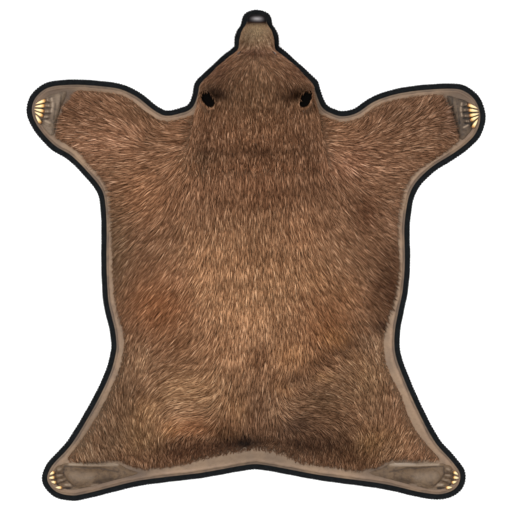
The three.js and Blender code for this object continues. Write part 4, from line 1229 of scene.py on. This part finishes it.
def head_cover(points, spots):
    place = drawn(points)
    up = normals_of(head_skin.data)[:, 2]
    cover = smoothstep(up, -0.75, -0.4) * smoothstep(place[:, 1], 1001, 994) * smoothstep(place[:, 2], 9, 14)
    cover *= 1 + 3.4 * smoothstep(place[:, 1], 850, 905)
    for sign in (-1, 1):
        eye_at = [HEAD_X + sign * EYE["out"], EYE["y"], EYE["z"]]
        cover *= smoothstep(np.linalg.norm(place - eye_at - (sign * 5, 0, -7), axis=1), 7, 10)
        ear_at = np.array([HEAD_X + sign * EAR["out"], EAR["y"]])
        off = (place[:, :2] - ear_at) / (EAR["wide"], EAR["high"])
        cover *= smoothstep(np.linalg.norm(off, axis=1), 0.95, 1.12)
    return cover


dress_skin(head_skin, HEAD_LIE, HEAD_PATCHES, head_length, head_curl, head_cover)
fur_skin = head_skin.copy()
fur_skin.data = head_skin.data.copy()
fur_skin.name = "fur_head"
scene.collection.objects.link(fur_skin)
planted(fur_skin, SEEDS["head"], HEAD_LOCKS)
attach(head_skin, "root")
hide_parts("head")

# %% [markdown]
# ## Ears
# A bear's ear is a small round cup, furred outside and dark inside, that opens forwards and up. The
# cup is a double skin: the outside from its back pole to the rim, then the inside back down again.
# The inside is painted nearly black, as the shade deep in the hollow.

# %% Ears
EAR_WALL = 3.5
EAR_STEPS = {"round": 40, "deep": 12}
EAR_REACH = math.radians(98)
EAR_PINCH = 0.12
EAR_LOCKS = {"Locks per Square Metre": 70000.0, "Width": 2.4 * MM, "Lift": 0.35, "Stray": 0.25}
EAR_HAIR = {"length": 17.0, "curl": 0.3, "lie": np.array([0, -0.8, 0])}

ear_dark, graph, shader = finish("ear_dark", "#15100d", roughness=0.95, specular_ior_level=0.05)
# the inside is painted nearly black: the hollow's shade over its dark skin
colour = graph.mixed(graph.attribute("inside"), linear("#3a2719"), linear("#070504"))
join(graph, colour, shader, "Base Color")
join(graph, graph.bump(graph.grain(300, 3), 0.002, 0.7), shader, "Normal")


def ear_axes(sign):
    opening = Vector((-0.28 * sign, 0.42, 0.86)).normalized()
    tall = Vector((0.35 * sign, 1, 0))
    tall = (tall - opening * tall.dot(opening)).normalized()
    return opening.cross(tall), opening, tall


def ear_skin(sign):
    across, opening, tall = (np.array(axis) for axis in ear_axes(sign))
    centre = np.array([HEAD_X + sign * EAR["out"], EAR["y"], EAR["z"]])
    bend = np.linspace(0.06, EAR_REACH, EAR_STEPS["deep"])
    rows, marks = [], []
    for wall, angles, mark in ((0, bend, 0), (EAR_WALL, bend[::-1], 1)):
        for angle in angles:
            turn = np.linspace(0, 2 * np.pi, EAR_STEPS["round"], endpoint=False)
            pinch = 1 - EAR_PINCH * np.clip(np.cos(turn * 2 + 0.6), 0, 1) * np.sin(angle)
            wide = (EAR["wide"] - wall) * np.sin(angle) * pinch
            high = (EAR["high"] - wall) * np.sin(angle) * pinch
            deep = -(EAR["deep"] - wall) * np.cos(angle)
            ring = centre + np.outer(wide * np.cos(turn), across) + np.outer(high * np.sin(turn), tall)
            rows.append(ring + opening * deep)
            marks += [mark] * len(turn)
    return rows, marks, opening


for side, sign in (("left", -1), ("right", 1)):
    rows, marks, opening = ear_skin(sign)
    count = EAR_STEPS["round"]
    points = np.vstack(rows)
    faces = skin_between(rows)
    faces += [tuple(range(count))[::-1], tuple(range(len(points) - count, len(points)))]
    ear = new_piece(f"ear_cup_{side}", placed(points), faces, ear_dark)
    face_outwards(ear)
    note(ear.data, "inside", "FLOAT", marks)
    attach(ear, "root")
    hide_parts(f"ear_{side}")

    outer = len(points) // 2
    hairy = new_piece(f"fur_ear_{side}", placed(points[:outer + count]),
                      [face for face in faces[:-2] if max(face) < outer + count], lock_fur)
    hairy.data.flip_normals()
    comb = np.tile(opening * 0.3 + EAR_HAIR["lie"], (len(hairy.data.vertices), 1))
    dress_skin(hairy, None, HEAD_PATCHES, lambda spots: np.full(len(spots), EAR_HAIR["length"]),
               lambda spots: np.full(len(spots), EAR_HAIR["curl"]), lambda points, spots: np.ones(len(spots)), comb)
    planted(hairy, SEEDS["ears"] + sign, EAR_LOCKS)
    print("Ear cup:", counted(ear), "triangles")

# %% [markdown]
# ## Eyes
# Taxidermy eyes are glass: a ball with a brown iris and a black pupil under a clear, very smooth
# surface, set in a dark lid. They lie deep in their sockets at the sides of the head, so from
# above hardly anything shows of them.

# %% Eyes
EYE_SINK = 9.3 * MM
LID = {"round": 36, "sides": 10, "share": 0.93, "thick": 2.2, "up": 5.2, "high": 2.0, "narrow": 0.2}
glass_eye, graph, shader = finish("glass_eye", "#1c100a", roughness=0.08, specular_ior_level=0.45)
gaze = graph.attribute("gaze")
iris = graph.ramp(gaze, [(0.0, linear("#1a0f08")), (0.80, linear("#23140a")), (0.86, linear("#5a3417")),
                         (0.935, linear("#3d220f")), (0.95, linear("#050404")), (1.0, linear("#030303"))])
join(graph, iris, shader, "Base Color")
lid_skin, graph, shader = finish("lid_skin", "#2e1f16", roughness=0.9, specular_ior_level=0.08)
join(graph, graph.bump(graph.grain(700, 2), 0.0008, 0.6), shader, "Normal")
for side, sign in (("left", -1), ("right", 1)):
    at = Vector(placed((HEAD_X + sign * EYE["out"], EYE["y"], EYE["z"])))
    look = Vector((sign * 0.86, 0.48, 0.06)).normalized()
    at = at - look * EYE_SINK
    form = bmesh.new()
    bmesh.ops.create_uvsphere(form, u_segments=32, v_segments=20, radius=EYE["radius"] * MM)
    bmesh.ops.translate(form, verts=form.verts, vec=at)
    ball = bpy.data.meshes.new(f"glass_eye_{side}")
    form.to_mesh(ball)
    form.free()
    ball.materials.append(glass_eye)
    ball.polygons.foreach_set("use_smooth", [True] * len(ball.polygons))
    piece = shown(ball.name, ball)
    toward = (points_of(ball) - at) @ np.array(look) / (EYE["radius"] * MM)
    note(ball, "gaze", "FLOAT", toward.clip(0, 1))
    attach(piece, "root")
    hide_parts(f"eye_{side}")

    facing = look.to_track_quat("Z", "Y")
    count, sides = LID["round"], LID["sides"]
    turn = np.linspace(0, 2 * np.pi, count, endpoint=False)
    narrow = 1 - LID["narrow"] * (1 - abs(np.cos(turn)))
    loops = []
    for roll in np.linspace(0, 2 * np.pi, sides, endpoint=False):
        radius = EYE["radius"] * LID["share"] + LID["thick"] * np.cos(roll)
        height = np.full(count, LID["up"] + LID["high"] * np.sin(roll))
        ring = np.column_stack([radius * np.cos(turn), radius * np.sin(turn) * narrow, height])
        loops.append([at + facing @ Vector(p * MM) for p in ring])
    faces = [(k * count + i, k * count + (i + 1) % count, (k + 1) % sides * count + (i + 1) % count,
              (k + 1) % sides * count + i) for k in range(sides) for i in range(count)]
    lid = new_piece(f"eyelid_{side}", np.vstack(loops), faces, lid_skin)
    face_outwards(lid)
    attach(lid, "root")
print("Eyes of", 2 * EYE["radius"], "mm glass")

# %% [markdown]
# ## Nose
# The nose is a leathery pad with two comma-shaped nostrils. It is a half ball pushed in by soft
# dents where the nostrils and the groove between them are. Its upper edge laps back over the snout
# and turns brown there. One wet spot on top is smoother and shinier, and its colour is painted pale
# grey as a highlight.

# %% Nose pad
NOSE = {"y": 1010, "z": 79, "wide": 40, "deep": 20.5, "high": 27}
NOSE_LAP = [(21, 0.90, 0.62), (19, 0.99, 0.82), (15, 1.03, 0.93), (10, 1.04, 0.99), (5, 1.03, 1.01)]
NOSE_SQUARE = 2.2
DENTS = [
    {"name": "nostril", "at": (16, 72), "reach": (7.5, 6.5), "push": 9},
    {"name": "nostril_slit", "at": (27, 66), "reach": (9, 3.2), "push": 5},
    {"name": "wing", "at": (29, 80), "reach": (10, 9), "push": -2.2},
    {"name": "groove", "at": (0, 66), "reach": (2.2, 17), "push": 3.2},
    {"name": "top_dip", "at": (0, 101), "reach": (9, 7), "push": 1.6},
]
wet_nose, graph, shader = finish("wet_nose", "#0a090a", roughness=0.8, specular_ior_level=0.06)
wet = graph.attribute("wet")
join(graph, graph.spread(wet, 0, 1, 0.85, 0.3), shader, "Roughness")
join(graph, graph.spread(wet, 0, 1, 0.04, 0.95), shader, "Specular IOR Level")
pebbles = graph.add("ShaderNodeTexVoronoi", {
    "Vector": graph.add("ShaderNodeTexCoord").outputs["Object"], "Scale": 620.0}).outputs["Distance"]
join(graph, graph.bump(pebbles, 0.0009, 0.5), shader, "Normal")
skin = graph.mixed(graph.grain(90), linear("#070506"), linear("#120e0e"))
skin = graph.mixed(graph.attribute("back"), skin, linear("#35251b"))
# painted highlight: the wet spot's colour is mixed to pale grey
join(graph, graph.mixed(wet, skin, linear("#6d6667")), shader, "Base Color")
around, outwards = 64, 26
rows = []
for angle in np.linspace(0.03, np.pi / 2, outwards)[::-1]:
    turn = np.linspace(0, 2 * np.pi, around, endpoint=False)
    square = (abs(np.cos(turn)) ** NOSE_SQUARE + abs(np.sin(turn)) ** NOSE_SQUARE) ** (-1 / NOSE_SQUARE)
    x = NOSE["wide"] * np.sin(angle) * np.cos(turn) * square
    z = NOSE["high"] * np.sin(angle) * np.sin(turn) * square
    x = x * (1 - 0.22 * np.clip(-z / NOSE["high"], 0, 1))
    y = NOSE["deep"] * np.cos(angle) ** 0.8
    rows.append(np.column_stack([x, np.full(around, y), z + NOSE["z"]]))
rim_row = rows[0] - (0, rows[0][0, 1], NOSE["z"])
lap = [rim_row * (wide, 1, high) + (0, -back, NOSE["z"]) for back, wide, high in NOSE_LAP]
rows = lap + rows
points = np.vstack(rows)
for dent in DENTS:
    for sign in ((-1, 1) if dent["at"][0] else (1,)):
        off = (points[:, [0, 2]] - (sign * dent["at"][0], dent["at"][1])) / dent["reach"]
        points[:, 1] -= dent["push"] * np.exp(-np.sum(off ** 2, axis=1)) * (points[:, 1] > 0.01)
# the wet spot on top: smoother and shinier, with a painted highlight in its colour
from_spot = (points - (4, 0, NOSE["z"] + NOSE["high"])) / (25, 9, 9)
wet = np.exp(-np.sum(from_spot ** 2, axis=1))
back = smoothstep(-points[:, 1], 10, 19)
points = points + (HEAD_X, NOSE["y"], 0)
faces = skin_between(rows) + [tuple(range(around)), tuple(range(len(points) - around, len(points)))]
nose = new_piece("nose_pad", placed(points), faces, wet_nose)
note(nose.data, "wet", "FLOAT", wet)
note(nose.data, "back", "FLOAT", back)
face_outwards(nose)
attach(nose, "root")
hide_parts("nose")
print("Nose pad:", counted(nose), "triangles")

# %% [markdown]
# ## Paws and feet
# The paws are bare leather over a form, paler on the knuckles, partly worn and partly a painted
# highlight, and darker where the claws come out, as painted shade. The hind feet lie with their
# soles up: a long oval pad, a crease, a rolled band and toes. We copy the frame's own forms, give
# them small even faces with a Remesh modifier, and then raise and press the skin along lines drawn
# in the picture. Along the same lines the colour gets painted shade in creases and hollows and
# painted highlights on the band and a few raised spots. The right side mirrors the left one, but
# for one more painted shine on the band of the right foot.

# %% Leather paws and feet
VOXEL = {"forepaw": 2.4 * MM, "hind_foot": 3.1 * MM}
PAW_SIDES = {"left": {"sign": 1, "x": 0, "y": 0, "rub": 0.1}, "right": {"sign": -1, "x": 6, "y": -19, "rub": -0.36}}
FOOT_SIDES = {"left": {"sign": 1, "x": 0, "y": 0, "rub": 0}, "right": {"sign": -1, "x": -18, "y": 0, "rub": 0.04}}
PAW_MARKS = [
    # knuckles: raised and paler, partly worn and partly a painted highlight
    {"name": "knuckles", "wide": 3.8, "up": 2.4, "light": 1.3, "lines": [
        [(47, 99.9)], [(51.5, 98.6), (51.9, 100.6)], [(45.6, 105.4)], [(48.5, 105.4)], [(52.4, 103), (52.3, 106.6)],
        [(45.1, 111.4)], [(47.5, 111.3)], [(51.8, 109), (51.4, 111.5)], [(44.6, 116.6)], [(46.5, 116.6)],
        [(45.5, 120.8), (49.5, 122.8)]]},
    {"name": "back of the paw", "wide": 16, "up": 1.2, "light": 0.35, "lines": [
        [(58, 96), (57, 106), (55, 112)], [(46, 126), (50, 133)]]},
    # creases between toes: pressed in, with painted shade
    {"name": "creases between toes", "wide": 4, "up": -2.2, "light": -0.6, "lines": [
        [(42.5, 102.6), (49, 102.7)], [(41.8, 108.3), (50, 108.3)], [(41.5, 113.8), (49.5, 114)],
        [(42, 119), (48, 118.8)]]},
    # darker round the claws: painted shade in the crevice at their roots
    {"name": "stain round the claws", "wide": 8, "up": -0.4, "light": -0.9, "lines": [
        [(44, 99.9)], [(43.2, 105.6)], [(42.7, 110.6)], [(42.3, 115.4)], [(41.3, 121)]]},
    # wrist wrinkles: pressed in, with painted shade
    {"name": "wrist wrinkles", "wide": 3.4, "up": -1.2, "light": -0.5, "lines": [
        [(61, 95), (60.5, 106), (58, 118), (54.5, 131)], [(55.5, 104), (54.5, 113), (53.5, 119)]]},
]
FOOT_MARKS = [
    # crease above the pad: pressed in, with painted shade
    {"name": "crease above the pad", "wide": 3.2, "up": -2.0, "light": -0.6, "lines": [
        [(64, 466.6), (75, 467), (90, 468.6), (98, 468.1), (111, 470.8), (118, 472)],
        [(64, 466.6), (63.6, 474), (67, 480.5), (74, 486.5)]]},
    # rolled band: raised, with a painted highlight along it
    {"name": "rolled band", "wide": 8, "up": 1.2, "light": 1.2, "lines": [[(70, 464), (90, 464.4), (117, 464)]]},
    {"name": "pad", "wide": 22, "up": 1.8, "light": 0.3, "lines": [[(72, 476), (90, 478)]]},
    # hollow of the sole: pressed in, with painted shade
    {"name": "hollow of the sole", "wide": 18, "up": -1.2, "light": -0.45, "lines": [[(99, 482), (110, 480)]]},
    # small light spots on the sole: painted highlights
    {"name": "worn spots", "wide": 5, "up": 0.8, "light": 0.7, "lines": [
        [(92, 486.3), (97, 484.8)], [(66, 484.6), (69, 485)]]},
    # edge of the pad: pressed in, with painted shade along it
    {"name": "edge of the pad", "wide": 3.5, "up": -1.2, "light": -0.3, "lines": [
        [(75, 487.4), (86, 488.4), (100, 487), (112, 482.5), (118, 478)]]},
    # creases between toes: pressed in, with painted shade
    {"name": "creases between toes", "wide": 3.2, "up": -1.8, "light": -0.55, "lines": [
        [(55, 473.8), (63, 473)], [(55, 479), (64, 477.4)], [(57, 484.4), (66, 481)],
        [(61, 489), (65.5, 488.6), (70, 488)]]},
    {"name": "toe pads", "wide": 7, "up": 1.4, "light": 0.45, "lines": [
        [(58, 470), (61, 469)], [(57.5, 476), (62, 475.4)], [(58, 481.6), (64, 479.6)], [(62, 486.6), (70, 485)],
        [(70, 490), (78, 490)]]},
    # darker round the claws: painted shadow of the claws
    {"name": "stain round the claws", "wide": 4.5, "up": 0, "light": -0.7, "lines": [
        [(54.6, 475.4)], [(56, 479.8)], [(57.6, 484.8)]]},
    # dark toe: painted shadow beside the bottom claw
    {"name": "dark toe", "wide": 5.5, "up": 0, "light": -1.6, "lines": [[(64, 488.9), (69, 488.9)]]},
]
BAND_SHINE = {"name": "shine of the right band", "wide": 9, "up": 0.5, "light": 1.1, "lines": [
    [(94, 463.6), (112, 463.6)]]}
FOOT_SIDE_MARKS = {"left": FOOT_MARKS, "right": FOOT_MARKS + [BAND_SHINE]}


def to_line(spots, line):
    """How far each spot is from a line of short straight pieces."""
    ends = np.array(line if len(line) > 1 else line * 2, float)
    best = np.full(len(spots), np.inf)
    for a, b in zip(ends[:-1], ends[1:]):
        reach = b - a
        share = np.clip((spots - a) @ reach / max(reach @ reach, 1e-9), 0, 1)
        best = np.minimum(best, np.linalg.norm(spots - a - share[:, None] * reach, axis=1))
    return best


def as_left(points, side):
    """Points of the right paw, as if it were the left one."""
    flat = points.copy()
    flat[:, 0] = side["sign"] * (points[:, 0] - side["x"])
    flat[:, 1] = points[:, 1] - side["y"]
    return flat


def leather(name, base, worn, stain_and_shade):
    material, graph, shader = finish(name, base, roughness=0.62, specular_ior_level=0.4)
    rub = graph.attribute("rub")
    mottle = graph.grain(55, 4, 0.65)
    colour = graph.mixed(graph.spread(mottle, 0.35, 0.7), linear(base), linear(worn))
    colour = graph.mixed(graph.spread(mottle, 0.5, 0.3, 0, 0.5), colour, linear(stain_and_shade))
    # paler: wear, and painted highlights on knuckles, band and raised spots
    colour = graph.mixed(graph.spread(rub, 0, 0.9), colour, linear("#8f7c69"))
    # painted highlight: nearly white leather for the shine on the band
    colour = graph.mixed(graph.spread(rub, 1.3, 2.4), colour, linear("#b5a391"))
    # painted shade in creases, hollows and round the claws
    colour = graph.mixed(graph.spread(rub, 0, -0.8), colour, linear(stain_and_shade))
    join(graph, colour, shader, "Base Color")
    cells = graph.add("ShaderNodeTexVoronoi", {
        "Vector": graph.add("ShaderNodeTexCoord").outputs["Object"], "Scale": 260.0,
    }, feature="DISTANCE_TO_EDGE").outputs["Distance"]
    creased = graph.bump(graph.spread(cells, 0, 0.18), 0.0009, 0.55)
    folds = graph.grain(95, 4, 0.6, stretch=(1, 2.2, 1))
    join(graph, graph.bump(folds, 0.0035, 0.55, under=creased), shader, "Normal")
    return material


paw_leather = leather("paw_leather", "#534336", "#645240", "#221912")
sole_leather = leather("sole_leather", "#574331", "#67513a", "#2a1d13")


EDGE_SOFT = {"from": -2, "to": 18, "least": 0.3}
WRINKLES = {"scale": 70, "up": 0.9}


def leather_piece(node, name, material, side, marks):
    form = welded(node)
    piece = rounded_copy(name, form, 0, material)
    even = piece.modifiers.new("even", "REMESH")
    even.mode, even.voxel_size, even.use_smooth_shade = "VOXEL", VOXEL[node.rsplit("_", 1)[0]], True
    soft = piece.modifiers.new("soft", "SMOOTH")
    soft.factor, soft.iterations = 0.5, 5
    settled(piece)
    points, normals = points_of(piece.data), normals_of(piece.data)
    spots = pictured(as_left(drawn(points), side))
    rub, up = np.full(len(points), float(side["rub"])), np.zeros(len(points))
    for mark in marks:
        away = np.min([to_line(spots, line) for line in mark["lines"]], axis=0) * PIXEL
        share = np.exp(-(away / mark["wide"]) ** 2)
        rub += mark["light"] * share
        up += mark["up"] * share
    wrinkle = [noise.fractal(Vector((x, y, 0.3)) * WRINKLES["scale"], 0.9, 2.2, 3) for x, y in points[:, :2]]
    up += WRINKLES["up"] * np.array(wrinkle)
    points[:, 2] += up * MM * smoothstep(normals[:, 2], 0.1, 0.7)
    inward = away_from(tree_of(even_steps(floor_ring(node), STEP)), points) / MM
    full = smoothstep(inward, EDGE_SOFT["from"], EDGE_SOFT["to"])
    share = EDGE_SOFT["least"] + (1 - EDGE_SOFT["least"]) * full
    floor = ON_HIDE * MM
    points[:, 2] = np.maximum(floor + (points[:, 2] - floor) * share, floor)
    put_points(piece.data, points)
    note(piece.data, "rub", "FLOAT", rub)
    map_from_above(piece.data)
    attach(piece, "root")
    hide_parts(node)
    print(name, "has", counted(piece), "triangles")
    return piece


leather_pieces = []
for side in ("left", "right"):
    leather_pieces += [
        leather_piece(f"forepaw_{side}", f"paw_{side}", paw_leather, PAW_SIDES[side], PAW_MARKS),
        leather_piece(f"hind_foot_{side}", f"foot_{side}", sole_leather, FOOT_SIDES[side], FOOT_SIDE_MARKS[side]),
    ]

# %% [markdown]
# ## Claws
# A claw is a horn that rises out of its toe, bends over and tapers to a blunt point. We draw the
# bent line of every claw, keep its thickness on the line's points, and let a Geometry Nodes tree
# sweep a ring along it. The horn is orange where it grows and cream towards the tip.

# %% Claws
CLAW = {"base": 9, "bend": 18, "end": 7, "root": 5, "point": 1.3, "radius": 7.2, "steps": 12}
FORECLAWS = [
    # base x and y, then tip x and y, on the left paw
    (-909, 662, -947, 648), (-912, 640, -951, 636), (-915, 617, -953, 625), (-920, 597, -952, 614),
    (-928, 568, -948, 600),
]
HIND_CLAWS = [
    (-871, -937, -887, -947), (-870, -959, -891, -962), (-864, -981, -881, -977), (-839, -1003, -862, -1002),
]

claw_horn, graph, shader = finish("claw_horn", "#f2d69a", roughness=0.34, specular_ior_level=0.5)
along = graph.attribute("along")
streaks = graph.grain(480, 3, 0.6)
horn = graph.ramp(graph.math("ADD", along, graph.spread(streaks, 0.3, 0.7, -0.06, 0.06)), [
    (0.0, linear("#6b4424")), (0.07, linear("#bd8440")), (0.17, linear("#e6bd78")),
    (0.36, linear("#f7dda4")), (0.8, linear("#f8e2b0")), (1.0, linear("#d5a660")),
])
join(graph, horn, shader, "Base Color")
join(graph, graph.bump(streaks, 0.0005, 0.5), shader, "Normal")


def sweeping_tree():
    graph, given = tree_with("sweep_the_claws", {"Sides": "Int", "Thickness": "Float", "Finish": "Material"})
    line = graph.add("GeometryNodeMeshToCurve", {"Mesh": given["Geometry"]}).outputs[0]
    ring = graph.add("GeometryNodeCurvePrimitiveCircle", {"Resolution": given["Sides"], "Radius": 1.0}).outputs[0]
    thick = graph.math("MULTIPLY", given["Thickness"], named(graph, "thick", "FLOAT"))
    inputs = {"Curve": line, "Profile Curve": ring, "Scale": thick, "Fill Caps": True}
    swept = graph.add("GeometryNodeCurveToMesh", inputs).outputs[0]
    real = graph.add("GeometryNodeRealizeInstances", {"Geometry": swept}).outputs[0]
    smooth = graph.add("GeometryNodeSetShadeSmooth", {"Geometry": real}).outputs[0]
    dressed = graph.add("GeometryNodeSetMaterial", {"Geometry": smooth, "Material": given["Finish"]}).outputs[0]
    graph.add("NodeGroupOutput", {"Geometry": dressed})
    return graph.tree


sweep = sweeping_tree()


def claw_line(row):
    base = np.array([*row[:2], ON_HIDE + CLAW["base"]])
    tip = np.array([*row[2:], ON_HIDE + CLAW["end"]])
    bend = (base + tip) / 2
    bend[2] = ON_HIDE + CLAW["bend"]
    t = np.linspace(0, 1, CLAW["steps"] + 1)[:, None]
    line = (1 - t) ** 2 * base + 2 * t * (1 - t) * bend + t ** 2 * tip
    reach = (tip - base) * (1, 1, 0)
    root = base - reach / np.linalg.norm(reach) * CLAW["root"]
    thick = CLAW["point"] + (CLAW["radius"] - CLAW["point"]) * (1 - t[:, 0] ** 1.7)
    return np.vstack([root, line]), np.concatenate([[CLAW["radius"]], thick]), np.concatenate([[0], t[:, 0]])


def claws(name, rows, side, nodes, plump):
    points, edges, thick, along = [], [], [], []
    for row in rows:
        line, widths, places = claw_line(row)
        edges += [(len(thick) + i, len(thick) + i + 1) for i in range(len(line) - 1)]
        line[:, 0] = side["x"] + side["sign"] * line[:, 0]
        line[:, 1] += side["y"]
        points += line.tolist()
        thick += (widths * plump).tolist()
        along += places.tolist()
    mesh = bpy.data.meshes.new(name)
    mesh.from_pydata(placed(points).tolist(), edges, [])
    piece = shown(name, mesh)
    note(mesh, "thick", "FLOAT", np.array(thick) * MM)
    note(mesh, "along", "FLOAT", along)
    run_tree(piece, sweep, {"Sides": 14, "Thickness": 1.0, "Finish": claw_horn})
    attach(piece, "root")
    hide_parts(*nodes)
    print(name, "has", counted(piece), "triangles")


for side in ("left", "right"):
    claws(f"foreclaws_{side}", FORECLAWS, PAW_SIDES[side], [f"foreclaw_{side}_{k}" for k in range(1, 6)], 1)
    claws(f"hind_claws_{side}", HIND_CLAWS, FOOT_SIDES[side], [f"hind_claw_{side}_{k}" for k in range(1, 5)], 0.88)

# %% [markdown]
# ## Rim of the fur
# The slab's edge is cut in coarse locks. A real coat thins out softly there, so one more band of
# short hair is planted along the smoothed edge, and over the upper edge of the leather. It lies as
# the coat does, but where that would point far out or in, it is turned to lie along the edge.

# %% Rim of the fur
RIM_ROWS = [{"inset": 0, "up": 0.4}, {"inset": 2, "up": 2}, {"inset": 8, "up": 4.5}, {"inset": 24, "up": 7}]
LEATHER_LAP = (1.2, 2.2, 2.6, 2.6)
RIM_HAIR = {"length": 13.0, "curl": 0.1, "in": -0.2, "out": 0.45}
RIM_LOCKS = {"Locks per Square Metre": 32000.0, "Width": 2.8 * MM, "Lift": 0.17, "Stray": 0.22}
loops = []
for row in RIM_ROWS:
    height = np.full(len(rim_line), (ON_HIDE + row["up"]) * MM)
    loops.append(np.column_stack([fur_end - rim_out * (row["inset"] * MM), height]))
for form in leather_pieces:
    surface = BVHTree.FromObject(form, bpy.context.evaluated_depsgraph_get())
    for column in range(len(rim_line)):
        under = [surface.ray_cast(Vector((*loop[column, :2], 1)), Vector((0, 0, -1)))[0] for loop in loops]
        tops = [hit.z for hit in under if hit is not None]
        for loop, above in zip(loops, LEATHER_LAP):
            loop[column, 2] = max([loop[column, 2]] + [top + above * MM for top in tops])
points = np.vstack(loops)
rim = new_piece("fur_rim", points, skin_between(loops), lock_fur)
spots = pictured(drawn(points_of(rim.data)))
lie = combed(spots, COAT_LIE + HEAD_LIE)
turned = np.tile(rim_out, (len(RIM_ROWS), 1))
away = np.sum(lie * turned, axis=1)
held = np.clip(away, RIM_HAIR["in"], RIM_HAIR["out"])
comb = np.column_stack([lie + turned * (held - away)[:, None], np.zeros(len(lie))])
dress_skin(rim, None, PELT_AND_PAINTED_LIGHT_PATCHES, lambda spots: np.full(len(spots), RIM_HAIR["length"]),
           lambda spots: np.full(len(spots), RIM_HAIR["curl"]), lambda points, spots: np.ones(len(spots)), comb)
planted(rim, SEEDS["rim"], RIM_LOCKS)

# %% [markdown]
# ## Stage
# The rug lies on a plain pale floor in soft, even light: a bright sky all round and one wide, soft
# sun from the upper left, which gives every lock a light and a dark side. The camera hangs far
# above and looks straight down, so that the rug is seen without perspective, as in the picture.

# %% Floor, light and camera
FLOOR = 16
CAMERA = {"height": 20, "above": 30 * MM, "sensor": 36, "end": 100}
SKY_STRENGTH = 0.62
SUNS = [
    {"name": "key_sun", "strength": 2.3, "spread": 24, "aim": (0.3, -0.36, -1)},
    {"name": "fill_sun", "strength": 0.5, "spread": 60, "aim": (-0.5, 0.3, -1)},
]
PICTURE_SIDE = 512

floor_white, graph, shader = finish("floor_white", "#f4f4f4", roughness=0.9, specular_ior_level=0.1)
corners = [(-FLOOR, -FLOOR, 0), (FLOOR, -FLOOR, 0), (FLOOR, FLOOR, 0), (-FLOOR, FLOOR, 0)]
floor = new_piece("floor", corners, [(0, 1, 2, 3)], floor_white)
floor.location.z = -0.5 * MM
floor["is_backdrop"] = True

print("Flat areas, square metres:", round(flat_area(felt_ring), 3), round(flat_area(hide_ring), 3))

world = bpy.data.worlds.new("pale_sky")
scene.world = world
world.use_nodes = True
sky = world.node_tree.nodes["Background"].inputs
sky["Color"].default_value = (1, 1, 1, 1)
sky["Strength"].default_value = SKY_STRENGTH

for sun in SUNS:
    light = bpy.data.lights.new(sun["name"], "SUN")
    light.energy, light.angle = sun["strength"], math.radians(sun["spread"])
    shown(sun["name"], light).rotation_euler = Vector(sun["aim"]).to_track_quat("-Z", "Y").to_euler()

camera = bpy.data.cameras.new("camera")
camera.sensor_width = CAMERA["sensor"]
camera.lens = CAMERA["sensor"] * CAMERA["height"] / (PICTURE_SIDE * PIXEL * MM)
camera.clip_end = CAMERA["end"]
eye = shown("camera", camera)
middle_of_view = placed((0, (PICTURE[1] - PICTURE_SIDE / 2) * PIXEL, 0))
eye.location = (*middle_of_view[:2], CAMERA["height"] + CAMERA["above"])
scene.camera = eye
scene.view_settings.view_transform = "Standard"
print("Camera", CAMERA["height"], "m up, lens", round(camera.lens), "mm")

# %% Sizes and the end
bpy.data.objects.remove(lock)
low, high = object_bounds()
print("Visual box, metres:", [round(v, 3) for v in (*low, *high)])
